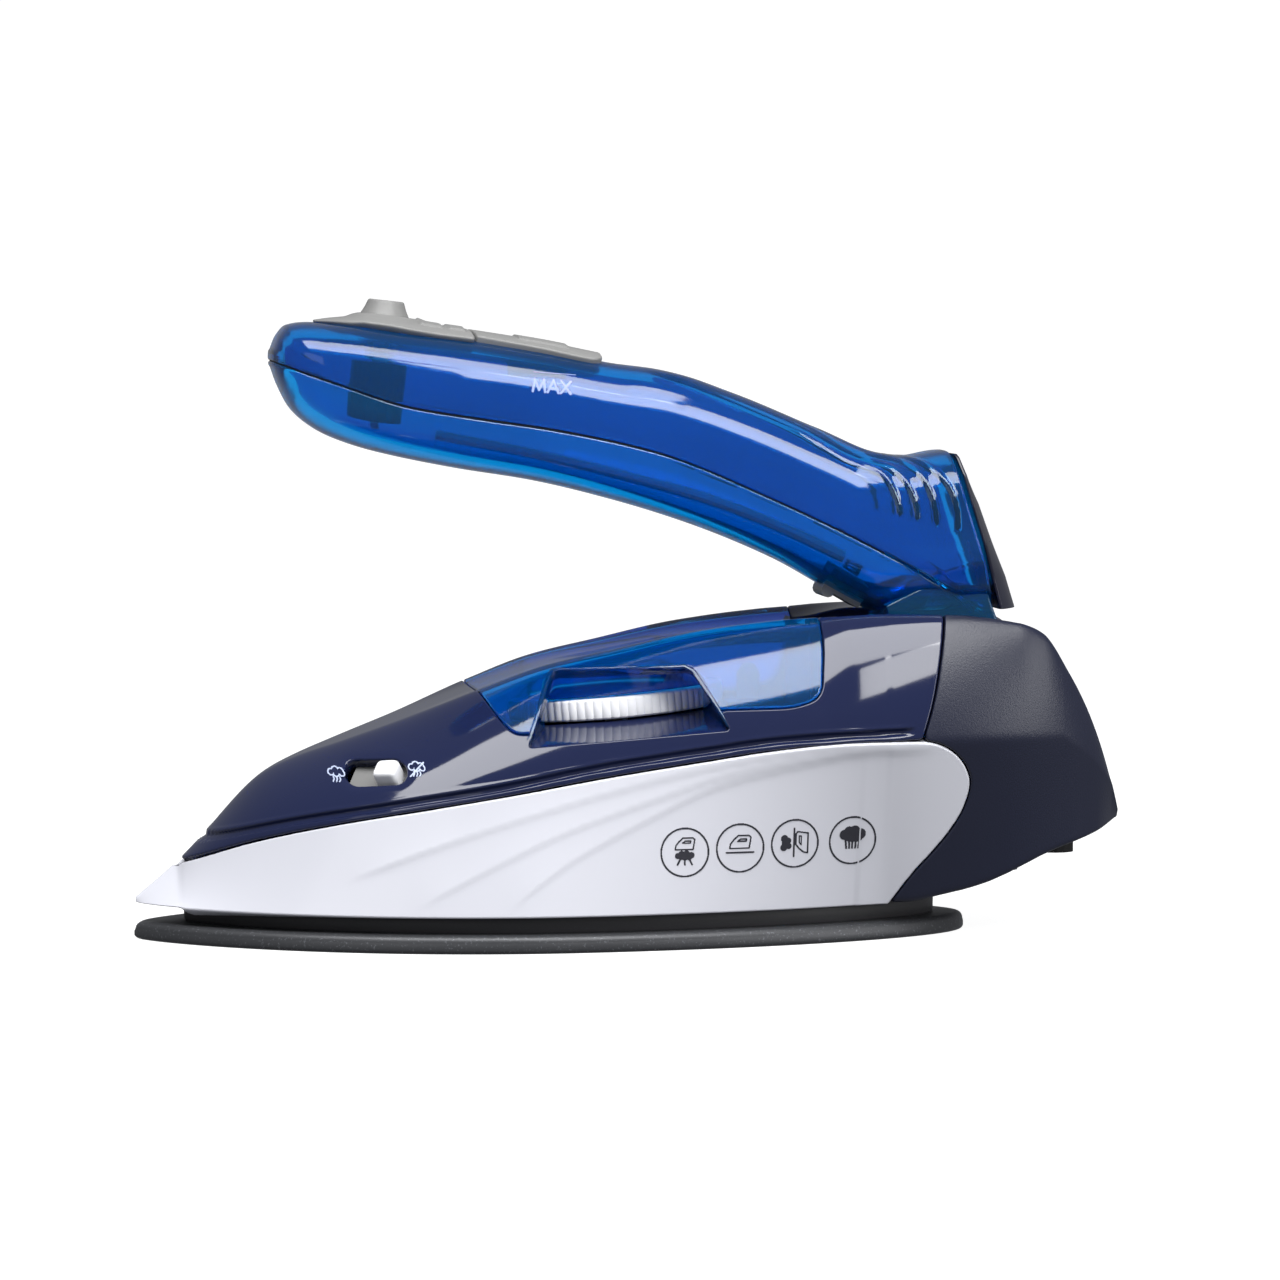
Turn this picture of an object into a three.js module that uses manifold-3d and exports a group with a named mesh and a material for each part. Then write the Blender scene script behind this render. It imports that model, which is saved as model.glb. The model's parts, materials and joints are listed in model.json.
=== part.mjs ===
// A folding travel steam iron: soleplate, white skirt, navy housing with a clear blue window,
// and a blue water-tank handle that folds down about a pin in the rear well.
// Millimetres. Shapes are drawn with x measured from the nose, y across, z up from the ironing face.
import * as THREE from "three";
import { mergeVertices } from "three/addons/utils/BufferGeometryUtils.js";
import Module from "manifold-3d";

const wasm = await Module();
wasm.setup();

// ---- driving dimensions ----
const LENGTH = 201.8;
const GAP = 0.3; // between pieces that touch
const RUNNING = 0.06; // between the pivot pin and what turns on it
const WALL = 2.2; // housing and tank shells

const SOLE = { nose: 0, tail: 171, half: 39.5, widest: 78, rim: 3.7 };
const RISER = { nose: 9.5, tail: 165, half: 35.5, widest: 78, top: 7.3 };
const CASTING = { nose: 30, tail: 140, half: 21, widest: 82, bottom: 4, top: 13 };
const SKIRT_INSET = 0.8; // skirt's lower edge inside the sole's edge
const BELT_NOSE = 8.8; // where the skirt's upper edge meets the bow
const BELT_HALF = 36.4;
const STERN = 203.5; // where the belt's plan curve would close
const STERN_POWER = 4.5;

const PIVOT = { x: 164.7, z: 60.4, hub: 10.8, pin: 2.5, bush: 5 };
const FOOT_HALF = 14; // handle foot, half its width
const WELL = { from: 137.3, to: 182.3, half: 15.6, floor: 46, wall: 1.5 };

const DIAL = { x: 98.5, z: 47.9, radius: 22, thick: 4.4, tilt: THREE.MathUtils.degToRad(5), flutes: 30 };
const SLOT = { x: 47.2, z: 35.6, rise: 0.07, long: 11.8, high: 5 }; // middle on the left side
const KNOB = { at: 2.7, long: 5, high: 4.4, proud: 1.3 }; // at the slot's rear end

const BUTTON = { x: 51.4, z: 126.6, tilt: THREE.MathUtils.degToRad(6.5), foot: 5.2, top: 3.6, high: 3.1 };
const BUTTON_HOLE = BUTTON.foot + 0.4;
const CAP = { from: 69.9, to: 95.3, half: 14, thick: 1.7, plugX: 82.5, plug: 6.2, hole: 7 };
const BEZEL = { from: 37, to: 69.3, half: 14, thick: 1.7 };

// ---- curves ----

// A smooth function through [at, value] points that never overshoots them.
function through(points) {
  const last = points.length - 1;
  const rise = (i) => (points[i + 1][1] - points[i][1]) / (points[i + 1][0] - points[i][0]);
  const slope = points.map((_, i) => {
    if (i === 0) return rise(0);
    if (i === last) return rise(last - 1);
    const [a, b] = [rise(i - 1), rise(i)];
    return a * b > 0 ? (2 * a * b) / (a + b) : 0;
  });
  return (at) => {
    const x = Math.min(Math.max(at, points[0][0]), points[last][0]);
    const i = Math.max(0, Math.min(last - 1, points.findIndex((p) => p[0] > x) - 1));
    const k = x >= points[last][0] ? last - 1 : i;
    const span = points[k + 1][0] - points[k][0];
    const t = (x - points[k][0]) / span;
    const [y0, y1] = [points[k][1], points[k + 1][1]];
    const [m0, m1] = [slope[k] * span, slope[k + 1] * span];
    return y0 + t * (m0 + t * (3 * (y1 - y0) - 2 * m0 - m1 + t * (2 * (y0 - y1) + m0 + m1)));
  };
}

// Half the width of a boat-shaped plan outline.
function leafHalf(leaf, x) {
  const fore = Math.max(0, (leaf.widest - x) / (leaf.widest - leaf.nose));
  const aft = Math.max(0, (x - leaf.widest) / (leaf.tail - leaf.widest));
  if (fore >= 1 || aft >= 1) return 0;
  return leaf.half * (1 - fore ** 2) ** 0.75 * (1 - aft ** 1.65) ** 0.55;
}

// Housing rails, each a function of x.
const ridgeZ = through([
  [0, 8.2], [8.8, 15.8], [12, 19], [26, 33.6], [32, 36.8], [42, 40.6], [54, 45.1], [69, 51.3],
  [82.7, 56.4], [96, 59.5], [114, 63.4], [134, 65.7], [151, 66.5], [164, 66.3], [178, 64.6],
  [183, 62.6], [189.2, 54], [193.4, 46.5], [197.7, 36.5], [200.7, 28.1], [201.8, 25],
]);
const ridgeHalf = through([
  [0, 0.2], [24, 0.4], [32, 2.5], [42, 7], [54, 10.5], [70, 15], [96, 17.2], [120, 18.2], [136, 20],
  [144, 23], [165, 24.5], [178, 24.5], [184, 23.5], [190, 21], [196, 16.8], [200.7, 10], [201.8, 8],
]);
const bottomZ = through([[0, 7.6], [155, 7.6], [163, 9], [171, 11], [186, 17.6], [196, 21], [201.8, 23.4]]);
const keelHalf = through([
  [145, 24], [152, 21.8], [162, 22], [176, 22], [190, 19], [196, 15.5], [201.8, 7.6],
]);
const beltLine = through([
  [8.8, 15.8], [24, 21.5], [40, 25.5], [59, 29], [77, 32.1], [91, 34.6], [111, 37.7], [127.5, 40],
  [144, 41.3], [170, 41.5],
]);
const troughDepth = through([[56, 0], [80, 1], [110, 2.6], [136, 3.8], [150, 1.2], [190, 1.2]]);

const beltZ = (x) => Math.min(beltLine(x), (bottomZ(x) + ridgeZ(x)) / 2 + (x < 150 ? 99 : 4), ridgeZ(x));

function bottomHalf(x) {
  return x < 145 ? Math.max(0.3, leafHalf(SOLE, x) - SKIRT_INSET) : keelHalf(x);
}

function beltHalf(x) {
  const fore = Math.min(1, Math.max(0, (SOLE.widest - x) / (SOLE.widest - BELT_NOSE)));
  const aft = Math.max(0, (x - SOLE.widest) / (STERN - SOLE.widest));
  return Math.max(ridgeHalf(x), BELT_HALF * (1 - fore ** 2) ** 0.75 * Math.sqrt(1 - aft ** STERN_POWER));
}

// Half the housing's width at height z, full at the belt and drawn in to the ridge.
function sideHalf(x, z) {
  const [low, belt, top] = [bottomZ(x), beltZ(x), ridgeZ(x)];
  if (z <= belt) return THREE.MathUtils.lerp(bottomHalf(x), beltHalf(x), (z - low) / (belt - low));
  const q = Math.min(1, (z - belt) / (top - belt));
  return ridgeHalf(x) + (beltHalf(x) - ridgeHalf(x)) * (1 - q ** 1.5) ** (1 / 1.5);
}

// Handle rails.
const handleTop = through([
  [28.3, 120], [29.4, 122.6], [31.5, 124.6], [36, 125.2], [44, 125], [58, 123.5], [82, 119.9], [98, 116.8],
  [106, 115.7], [122.4, 110.4], [139, 103.6], [151.4, 98.6], [157, 97.5], [166, 98.8], [176, 98.8],
]);
const handleBottom = through([
  [28.3, 116], [29.5, 112.6], [32.2, 107.6], [36.2, 104.1], [40.3, 101.9], [48.4, 99.2], [64.8, 95.7],
  [81.2, 93], [97.6, 89], [114.1, 83.8], [130.7, 76.9], [149, 66.9], [152, 65.8], [176, 65.8],
]);
const handleHalf = through([
  [28.3, 8], [29.5, 11], [32.2, 14], [38, 16.8], [48, 17.8], [64, 17.4], [82, 16], [100, 15],
  [125, 14.4], [145, 15], [158, 16.6], [170, 17.5],
]);
const seamZ = through([
  [20, 120.5], [28.2, 117.3], [40.3, 113], [54.8, 108.3], [69, 105.9], [84.7, 103.5], [105.4, 98.9],
  [129.6, 89.1], [153.6, 77.3], [180, 61],
]);
const HANDLE_POWER = 2.6;

// ---- solids ----

const solidOf = (geometry) => {
  const bare = new THREE.BufferGeometry().setAttribute("position", geometry.getAttribute("position"));
  if (geometry.index) bare.setIndex(geometry.index);
  const merged = mergeVertices(bare, 1e-4);
  const mesh = { numProp: 3, vertProperties: merged.attributes.position.array };
  const corners = new Uint32Array(merged.index.array);
  const made = new wasm.Manifold(new wasm.Mesh({ ...mesh, triVerts: corners }));
  if (made.volume() > 0) return made;
  return new wasm.Manifold(new wasm.Mesh({ ...mesh, triVerts: corners.reverse() }));
};

// A closed skin over rings of points, with a flat fan on each end.
function loft(rings) {
  const count = rings[0].length;
  const points = rings.flat();
  const index = [];
  for (let i = 0; i + 1 < rings.length; i++)
    for (let j = 0; j < count; j++) {
      const [a, b] = [i * count + j, i * count + ((j + 1) % count)];
      index.push(a, b, b + count, a, b + count, a + count);
    }
  const middle = (ring) => ring.reduce((sum, p) => sum.clone().add(p)).divideScalar(count);
  const last = (rings.length - 1) * count;
  points.push(middle(rings[0]), middle(rings[rings.length - 1]));
  for (let j = 0; j < count; j++) {
    const k = (j + 1) % count;
    index.push(points.length - 2, k, j, points.length - 1, last + j, last + k);
  }
  const geometry = new THREE.BufferGeometry().setFromPoints(points);
  geometry.setIndex(index);
  return solidOf(geometry);
}

function box(x0, x1, y0, y1, z0, z1) {
  const geometry = new THREE.BoxGeometry(x1 - x0, y1 - y0, z1 - z0);
  return solidOf(geometry.translate((x0 + x1) / 2, (y0 + y1) / 2, (z0 + z1) / 2));
}

// An upright round bar.
function bar(radius, z0, z1, sides = 16) {
  const geometry = new THREE.CylinderGeometry(radius, radius, z1 - z0, sides);
  return solidOf(geometry.rotateX(Math.PI / 2).translate(0, 0, (z0 + z1) / 2));
}

// A solid turned about z from [radius, z] points.
function turned(profile, sides = 20) {
  const points = profile.map(([radius, z]) => new THREE.Vector2(radius, z));
  return solidOf(new THREE.LatheGeometry(points, sides).rotateX(Math.PI / 2));
}

// A solid with a side-view outline, drawn in x and z, running across from y0 to y1.
function across(outline, y0, y1) {
  const run = { depth: y1 - y0, bevelEnabled: false, curveSegments: 10 };
  const geometry = new THREE.ExtrudeGeometry(outline, run);
  return solidOf(geometry.rotateX(Math.PI / 2).translate(0, y1, 0));
}

const outlineOf = (points) => new THREE.Shape(points.map(([x, z]) => new THREE.Vector2(x, z)));

// A flat plate with a boat-shaped plan; its lower edge may be drawn in by a chamfer.
function leafPlate(leaf, z0, z1, chamfer = 0) {
  const steps = 22;
  const plan = (shrink) => {
    const left = [];
    for (let i = 0; i <= steps; i++) {
      const x = leaf.nose + ((leaf.tail - leaf.nose) * (1 - Math.cos((Math.PI * i) / steps))) / 2;
      const half = Math.max(0, leafHalf(leaf, x) - shrink);
      left.push([THREE.MathUtils.lerp(x, leaf.widest, shrink / 60), half]);
    }
    const right = left.slice(1, -1).reverse();
    return [...left.map(([x, y]) => [x, -y]), ...right.map(([x, y]) => [x, y])];
  };
  const level = (shrink, z) => plan(shrink).map(([x, y]) => new THREE.Vector3(x, y, z));
  const rings = chamfer ? [level(chamfer, z0), level(0, z0 + chamfer)] : [level(0, z0)];
  return loft([...rings, level(0, z1)]);
}

// A bent round tube.
function tube(points, radius, steps, sides = 8) {
  const circle = new THREE.Shape().absarc(0, 0, radius, 0, 2 * Math.PI);
  const route = new THREE.CatmullRomCurve3(points.map((p) => new THREE.Vector3(...p)));
  const run = { steps, extrudePath: route, curveSegments: sides / 2 };
  return solidOf(new THREE.ExtrudeGeometry(circle, run));
}

// ---- housing shell ----

const HULL_STATIONS = [
  0.4, 4, 9, 13, 19, 26, 34, 44, 56, 70, 84, 98, 112, 126, 137, 146, 155, 164, 173, 183, 188, 193, 197.5,
  200.7, 201.8,
];
const SIDE_LEVELS = [0, 0.5, 1];
const FLANK_LEVELS = [0.3, 0.6, 0.84, 1];

// One half of the housing's section at x, from the lower edge to the middle of the deck.
function halfSection(x) {
  const [low, belt, top] = [bottomZ(x), beltZ(x), ridgeZ(x)];
  const rise = (z) => [sideHalf(x, z), z];
  const flank = FLANK_LEVELS.map((t) => rise(THREE.MathUtils.lerp(belt, top, t)));
  const deck = [0.8, 0.45, 0].map((t) => [t * ridgeHalf(x), top - troughDepth(x) * (1 - t ** 4)]);
  return [...SIDE_LEVELS.map((t) => rise(THREE.MathUtils.lerp(low, belt, t))), ...flank, ...deck];
}

// Housing section moved in by inset; an open section runs on down past the lower edge.
function hullRing(x, inset, open) {
  const [low, top] = [bottomZ(x), ridgeZ(x)];
  const base = inset === 0 ? low : open ? low - 6 : low + inset;
  const half = halfSection(x).map(([y, z]) => [
    Math.max(y - inset, 0.02 * y),
    base + ((z - low) / (top - low)) * (top - inset - base),
  ]);
  const right = half.slice(0, -1).reverse();
  const at = (side) => ([y, z]) => new THREE.Vector3(x, side * y, z);
  return [...half.map(at(-1)), ...right.map(at(1))];
}

const HEEL_FLOOR_FROM = 157; // behind this the shell is closed underneath

function hull(inset) {
  if (inset === 0) return loft(HULL_STATIONS.map((x) => hullRing(x, 0, false)));
  const inside = HULL_STATIONS.filter((x) => x > 4 + 2 * inset && x < LENGTH - inset - 1);
  const fore = inside.filter((x) => x < HEEL_FLOOR_FROM).concat(HEEL_FLOOR_FROM);
  const aft = [HEEL_FLOOR_FROM - 1, ...inside.filter((x) => x > HEEL_FLOOR_FROM)];
  const rings = (stations, open) => loft(stations.map((x) => hullRing(x, inset, open)));
  return rings(fore, true).add(rings(aft, false));
}

const outerHull = hull(0);
const innerHull = hull(WALL);
const lining = hull(WALL + GAP);
const shell = outerHull.subtract(innerHull);

const heelCurve = [
  [159.3, 40.9], [164.5, 38], [167.3, 33.2], [166.6, 28], [164.2, 23.2], [160.5, 18.3], [156, 13],
  [150.6, 5],
];
const beltSteps = [-2, 8.8, 13, 19, 26, 34, 44, 56, 70, 84, 98, 112, 126, 144, 152];
const beltEdge = beltSteps.map((x) => [x, x < BELT_NOSE ? BELT_NOSE + 7 : beltLine(x)]);
const seamTop = [162.6, 80];
const seamBelt = [156.9, 41.5];

// White panel: under the belt, ending in a round heel curve.
const skirtOutline = outlineOf([[-2, 0], ...beltEdge, ...heelCurve]);

// Everything above the belt and in front of the seam with the rear housing.
const raised = (points, lift) => points.map(([x, z]) => [x, z + lift]);
const upperOutline = outlineOf([
  ...raised(beltEdge, GAP), [seamBelt[0] - 0.4, seamBelt[1] + 0.1], seamTop, [-2, 80],
]);

// Rear housing: behind the seam and round the heel curve.
const aftOf = (points) => points.map(([x, z]) => [x + GAP, z]);
const rearOutline = outlineOf([
  ...aftOf([seamTop, seamBelt, ...heelCurve]), [150.9, 0], [210, 0], [210, 80],
]);

// Clear window: the deck panel and the side panes it wraps down into.
const panePoints = [
  [67.2, 53.5], [69.6, 49.6], [72.4, 45.4], [75.2, 43.2], [79.8, 43.2], [112.3, 48], [130.6, 48.4],
  [134.6, 49.8], [136.6, 53.4], [137.6, 60], [137.6, 80], [67.2, 80],
];
const paneOutline = outlineOf(panePoints);
const paneHole = outlineOf(
  panePoints.map(([x, z]) => [x + (x < 100 ? -GAP : GAP), z > 79 ? z : z - GAP]),
);

const dialRecess = () => {
  const mouth = outlineOf([[84.5, 43], [113.5, 45.7], [110.5, 53.6], [87.5, 51.2]]);
  return across(mouth, -45, -15.4).add(across(mouth, 15.4, 45));
};

// Opening in the deck for the handle's foot.
const wellMouth = () => box(WELL.from, WELL.to, -WELL.half, WELL.half, 40, 90);

// Place on the left side where the slide switch sits, as a frame: t along the slot, n outwards.
const slotFrame = (() => {
  const on = (along, lift) => {
    const [x, z] = [SLOT.x + along, SLOT.z + along * SLOT.rise + lift];
    return new THREE.Vector3(x, -sideHalf(x, z), z);
  };
  const t = on(5, 0).sub(on(-5, 0)).normalize();
  const up = on(0, 2).sub(on(0, 0)).normalize();
  const n = new THREE.Vector3().crossVectors(t, up).normalize();
  const b = new THREE.Vector3().crossVectors(n, t);
  return new THREE.Matrix4().makeBasis(t, b, n).setPosition(on(0, 0));
})();
const placed = (solid, matrix) => solid.transform(matrix.elements);
const moved = (solid, x, y, z) => placed(solid, new THREE.Matrix4().setPosition(x, y, z));

const slotHole = () => {
  const [along, up] = [SLOT.long / 2, SLOT.high / 2];
  return placed(box(-along, along, -up, up, -9, 6), slotFrame);
};

const upperHousing = () =>
  shell
    .intersect(across(upperOutline, -50, 50))
    .subtract(across(paneHole, -50, 50))
    .subtract(wellMouth())
    .subtract(slotHole());

const sideSkirt = () => shell.intersect(across(skirtOutline, -50, 50));

const topWindow = () => shell.intersect(across(paneOutline, -50, 50)).subtract(dialRecess());

const INLET = { x: 190, radius: 4.2, bore: 1.9 };
const REAR_SCREWS = [[178, 10], [178, -10]];

// Round recess for a screw's head in the heel's underside, with the hole for its shank.
const screwSeat = (x, y) => moved(bar(3, -8, bottomZ(x) + 1).add(bar(1.5, 0, 30, 10)), x, y, 0);

const rearHousing = () =>
  shell
    .intersect(across(rearOutline, -50, 50))
    .subtract(wellMouth())
    .subtract(moved(bar(INLET.radius + GAP, -30, 30), INLET.x, 0, 16))
    .subtract(screwSeat(...REAR_SCREWS[0]))
    .subtract(screwSeat(...REAR_SCREWS[1]));

const disc = (radius) => new THREE.Shape().absarc(PIVOT.x, PIVOT.z, radius, 0, 2 * Math.PI);

const handleWell = () => {
  const room = WELL.half + GAP;
  const out = room + WELL.wall;
  const block = box(WELL.from - 1, WELL.to + 0.2, -out, out, WELL.floor, 80);
  const inside = box(WELL.from + 0.5, WELL.to - 1.3, -room, room, WELL.floor + WELL.wall, 90);
  const pinHole = across(disc(PIVOT.pin + GAP), -30, 30);
  return block.subtract(inside).subtract(pinHole).intersect(lining);
};

// ---- handle ----

const HANDLE_STATIONS = [28.3, 29.6, 32.2, 37, 44, 54, 66, 78, 90, 102, 114, 126, 138, 149, 157, 166, 176];
const HANDLE_SIDES = 16;
const HOLLOW_END = 153; // behind this the handle's foot is solid

// Widest the handle may be at height z, so that its lower end passes into the well.
const footLimit = through([[60, FOOT_HALF], [68, FOOT_HALF], [80, 19]]);

function handleRing(x, inset) {
  const [top, bottom] = [handleTop(x) - inset, handleBottom(x) + inset];
  const [middle, high, wide] = [(top + bottom) / 2, (top - bottom) / 2, handleHalf(x) - inset];
  const bend = (v) => Math.sign(v) * Math.abs(v) ** (2 / HANDLE_POWER);
  return Array.from({ length: HANDLE_SIDES }, (_, i) => {
    const turn = (2 * Math.PI * (i + 0.5)) / HANDLE_SIDES;
    const z = middle + high * bend(Math.sin(turn));
    const y = wide * bend(Math.cos(turn));
    return new THREE.Vector3(x, Math.sign(y) * Math.min(Math.abs(y), footLimit(z) - inset), z);
  });
}

function handleHull(inset) {
  const inside = HANDLE_STATIONS.filter((x) => x > 28.3 + inset && x < HOLLOW_END);
  const stations = inset === 0 ? HANDLE_STATIONS : [28.3 + inset, ...inside];
  return loft(stations.map((x) => handleRing(x, inset)));
}

const BACK = [[167, 110], [167, 97], [170.2, 84], [173.4, 74], [176.4, 62]]; // where the tank ends behind
const handleShell = handleHull(0)
  .subtract(handleHull(WALL))
  .intersect(across(outlineOf([[20, 40], [20, 140], [167, 140], ...BACK, [176.4, 40]]), -40, 40));

const seamSteps = [20, 28.2, 37, 44, 54, 66, 78, 90, 102, 114, 126, 138, 149, 157, 166, 180];
const seamEdge = (lift) => seamSteps.map((x) => [x, seamZ(x) + lift]);
const aboveSeam = () => across(outlineOf([...seamEdge(0.35), [180, 140], [20, 140]]), -40, 40);
const belowSeam = () => across(outlineOf([...seamEdge(-0.35), [180, 30], [20, 30]]), -40, 40);

const tilted = (x, z, angle) => new THREE.Matrix4().makeRotationY(angle).setPosition(x, 0, z);
const buttonFrame = tilted(BUTTON.x, BUTTON.z, BUTTON.tilt);

const CAP_LEVEL = 119;
const capHole = (radius) => moved(bar(radius, -8, 8, 20), CAP.plugX, 0, CAP_LEVEL);

const tankUpperShell = () =>
  handleShell
    .intersect(aboveSeam())
    .subtract(capHole(CAP.hole))
    .subtract(placed(bar(BUTTON_HOLE, -12, 8), buttonFrame));

// Foot: a block from the tank's lower end to the round hub on the pivot.
function footOutline(radius) {
  const shape = new THREE.Shape();
  shape.moveTo(149, 69.6);
  shape.lineTo(151.6, 66.6);
  shape.lineTo(PIVOT.x - radius, PIVOT.z + 1);
  shape.absarc(PIVOT.x, PIVOT.z, radius, Math.PI, 2 * Math.PI, false);
  shape.lineTo(176.2, 66);
  shape.lineTo(173.6, 73.4);
  shape.lineTo(160, 75);
  return shape;
}

const LATCH = { x: 145, z: 70, tilt: THREE.MathUtils.degToRad(30), long: 8.6, half: 6, nose: 1.4 };
const latchFrame = tilted(LATCH.x, LATCH.z, LATCH.tilt);

const tankLowerShell = () => {
  const foot = across(footOutline(PIVOT.hub), -FOOT_HALF, FOOT_HALF);
  const bore = across(disc(PIVOT.pin + RUNNING), -20, 20);
  const [along, room] = [LATCH.long / 2 + 0.5, LATCH.half + 0.5];
  const pocket = placed(box(-along, along, -room, room, -6, 7.2), latchFrame);
  const whole = handleShell.intersect(belowSeam()).add(foot.intersect(belowSeam()));
  return whole.subtract(bore).subtract(pocket);
};

const tankSeal = () => {
  const band = (inset) => handleHull(inset).intersect(box(20, 150, -40, 40, 60, 130));
  const line = across(outlineOf([...seamEdge(0.2), ...seamEdge(-0.2).reverse()]), -40, 40);
  return band(0.5).subtract(band(WALL + 0.4)).intersect(line);
};

// Dark plate that closes the back of the handle, bowed outwards.
function handleRearPlate() {
  const levels = [
    [97.6, 167.4, 168, 12], [94, 168.1, 170.2, 14.4], [88, 169.6, 173.2, 15.6], [80, 172.2, 176.2, 15],
    [73, 174.2, 179.2, 13.6], [66.6, 176, 181.2, 13],
  ];
  const rings = levels.map(([z, front, back, half]) => {
    const bow = [-1, -0.8, -0.4, 0, 0.4, 0.8, 1].map((t) => {
      return new THREE.Vector3(THREE.MathUtils.lerp(back, front + 1.2, t ** 2), t * half, z);
    });
    return [new THREE.Vector3(front, half, z), new THREE.Vector3(front, -half, z), ...bow];
  });
  return loft(rings);
}

// Height of the handle's skin above y at x.
function crownZ(x, y) {
  const [top, bottom] = [handleTop(x), handleBottom(x)];
  const reach = Math.min(1, Math.abs(y) / handleHalf(x));
  return (top + bottom) / 2 + ((top - bottom) / 2) * (1 - reach ** HANDLE_POWER) ** (1 / HANDLE_POWER);
}

// A saddle that lies over the handle's top from x0 to x1.
function saddle(stations, halfAt, thick) {
  const spread = [-1, -0.75, -0.4, 0, 0.4, 0.75, 1];
  const rings = stations.map((x) => {
    const skin = (lift) => spread.map((t) => {
      const y = t * halfAt(x);
      return new THREE.Vector3(x, y, crownZ(x, y) + lift);
    });
    return [...skin(GAP + 0.3), ...skin(thick + GAP + 0.3).reverse()];
  });
  return loft(rings);
}

const bezelHalf = through([[37, 7], [39, 10.4], [43, 12.6], [52, 13.8], [70, 14]]);
const controlBezel = () => {
  const collar = placed(turned([[0, -3], [8.6, -3], [6.4, 0.5], [0, 0.5]]), buttonFrame);
  const under = handleHull(0).add(placed(bar(BUTTON_HOLE, -20, 20), buttonFrame));
  const clear = handleHull(-GAP);
  return saddle([37, 40, 45, 52, 58, 64, BEZEL.to], bezelHalf, BEZEL.thick)
    .add(collar.subtract(clear))
    .subtract(placed(bar(BUTTON_HOLE, -20, 20), buttonFrame))
    .subtract(under);
};

const capHalf = through([[69, 14], [80, 13.6], [90, 12.6], [95.3, 10.5]]);
const fillCap = () => {
  const plug = capHole(CAP.plug).intersect(box(70, 95, -10, 10, 115.5, 120.6));
  return saddle([CAP.from, 74, 80, 86, 91, CAP.to], capHalf, CAP.thick).add(plug);
};

const steamButton = () => {
  const { foot, top, high } = BUTTON;
  const profile = [[0, -1.2], [foot, -1.2], [foot, 0.4], [top + 0.5, 2.5], [top - 0.4, high], [0, high]];
  return placed(turned(profile), buttonFrame);
};

const pumpPiston = () => {
  const profile = [[0, -17.4], [3.6, -17.4], [3.6, -14.4], [1.6, -14.4], [1.6, -1.5], [0, -1.5]];
  return placed(turned(profile, 14), buttonFrame);
};

const pumpBody = () =>
  placed(turned([[3.8, -22], [5.6, -22], [5.6, -9.5], [3.8, -9.5], [3.8, -22]], 16), buttonFrame);

const SPRING = { turns: 4, radius: 2.9, wire: 0.4, foot: -9, long: 6.6 };

// A coil spring under the button.
function pumpSpring() {
  const steps = SPRING.turns * 8;
  const route = Array.from({ length: steps + 1 }, (_, i) => {
    const turn = (SPRING.turns * 2 * Math.PI * i) / steps;
    const z = SPRING.foot + (SPRING.long * i) / steps;
    return [SPRING.radius * Math.cos(turn), SPRING.radius * Math.sin(turn), z];
  });
  return placed(tube(route, SPRING.wire, steps, 6), buttonFrame);
}

const releaseLatch = () => {
  const { long, half, nose } = LATCH;
  const body = box(-long / 2, long / 2, -half, half, -nose, 3.4);
  const edge = new THREE.CylinderGeometry(nose, nose, 2 * half, 12).translate(nose - long / 2, 0, -nose);
  return placed(body.add(solidOf(edge)), latchFrame);
};

const latchSpring = () => {
  const ring = [[1.2, 3.8], [2, 3.8], [2, 6.8], [1.2, 6.8], [1.2, 3.8]];
  return placed(turned(ring, 10), latchFrame);
};

// ---- sole, boiler and controls ----

const STEAM_HOLE = 1.5; // radius
const STEAM_HOLES = [
  [20, 0], ...[[30, 7], [44, 14], [62, 20], [84, 24]].flatMap(([x, y]) => [[x, y], [x, -y]]),
];

const soleplate = () =>
  STEAM_HOLES.reduce(
    (plate, [x, y]) => plate.subtract(moved(bar(STEAM_HOLE, -1, 6, 8), x, y, 0)),
    leafPlate(SOLE, 0, SOLE.rim, 1),
  );

const heatShield = () => {
  const hollow = { ...RISER, nose: RISER.nose + 8, tail: RISER.tail - 5, half: RISER.half - 4 };
  return leafPlate(RISER, SOLE.rim + GAP, RISER.top).subtract(leafPlate(hollow, 0, 20));
};

// The cover's screws go down into the casting's rim.
const COVER_SCREWS = [[34.6, 0], [82, 18.8], [82, -18.8], [136.4, 0]];
const SCREW = { shank: 1.2, long: 7, head: 2.6, thick: 1.6 };
const drilled = (solid) =>
  COVER_SCREWS.reduce((rest, [x, y]) => {
    return rest.subtract(moved(bar(SCREW.shank + GAP, 8, 20, 10), x, y, 0));
  }, solid);

const steamCasting = () => {
  const cavity = { ...CASTING, nose: CASTING.nose + 10, tail: CASTING.tail - 8, half: CASTING.half - 4.6 };
  return drilled(leafPlate(CASTING, CASTING.bottom, CASTING.top).subtract(leafPlate(cavity, 7, 20)));
};

const chamberGasket = () => {
  const hole = { ...CASTING, nose: CASTING.nose + 9, tail: CASTING.tail - 7, half: CASTING.half - 4.4 };
  return drilled(leafPlate(CASTING, CASTING.top + GAP, CASTING.top + 1.1).subtract(leafPlate(hole, 0, 20)));
};

const chamberCover = () => drilled(leafPlate(CASTING, CASTING.top + 1.4, CASTING.top + 2.9));

const heatingElement = () =>
  tube([
    [148, 7.5, 17], [143, 10, 9], [132, 15.5, 7.4], [108, 22.8, 7.4], [82, 25.4, 7.4], [52, 19.5, 7.4],
    [34, 9.4, 7.4], [25.5, 0, 7.4], [34, -9.4, 7.4], [52, -19.5, 7.4], [82, -25.4, 7.4], [108, -22.8, 7.4],
    [132, -15.5, 7.4], [143, -10, 9], [148, -7.5, 17],
  ], 2.9, 32);

const dialFrame = tilted(DIAL.x, DIAL.z, -DIAL.tilt);
const COVER_TOP = CASTING.top + 2.9;

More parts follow.
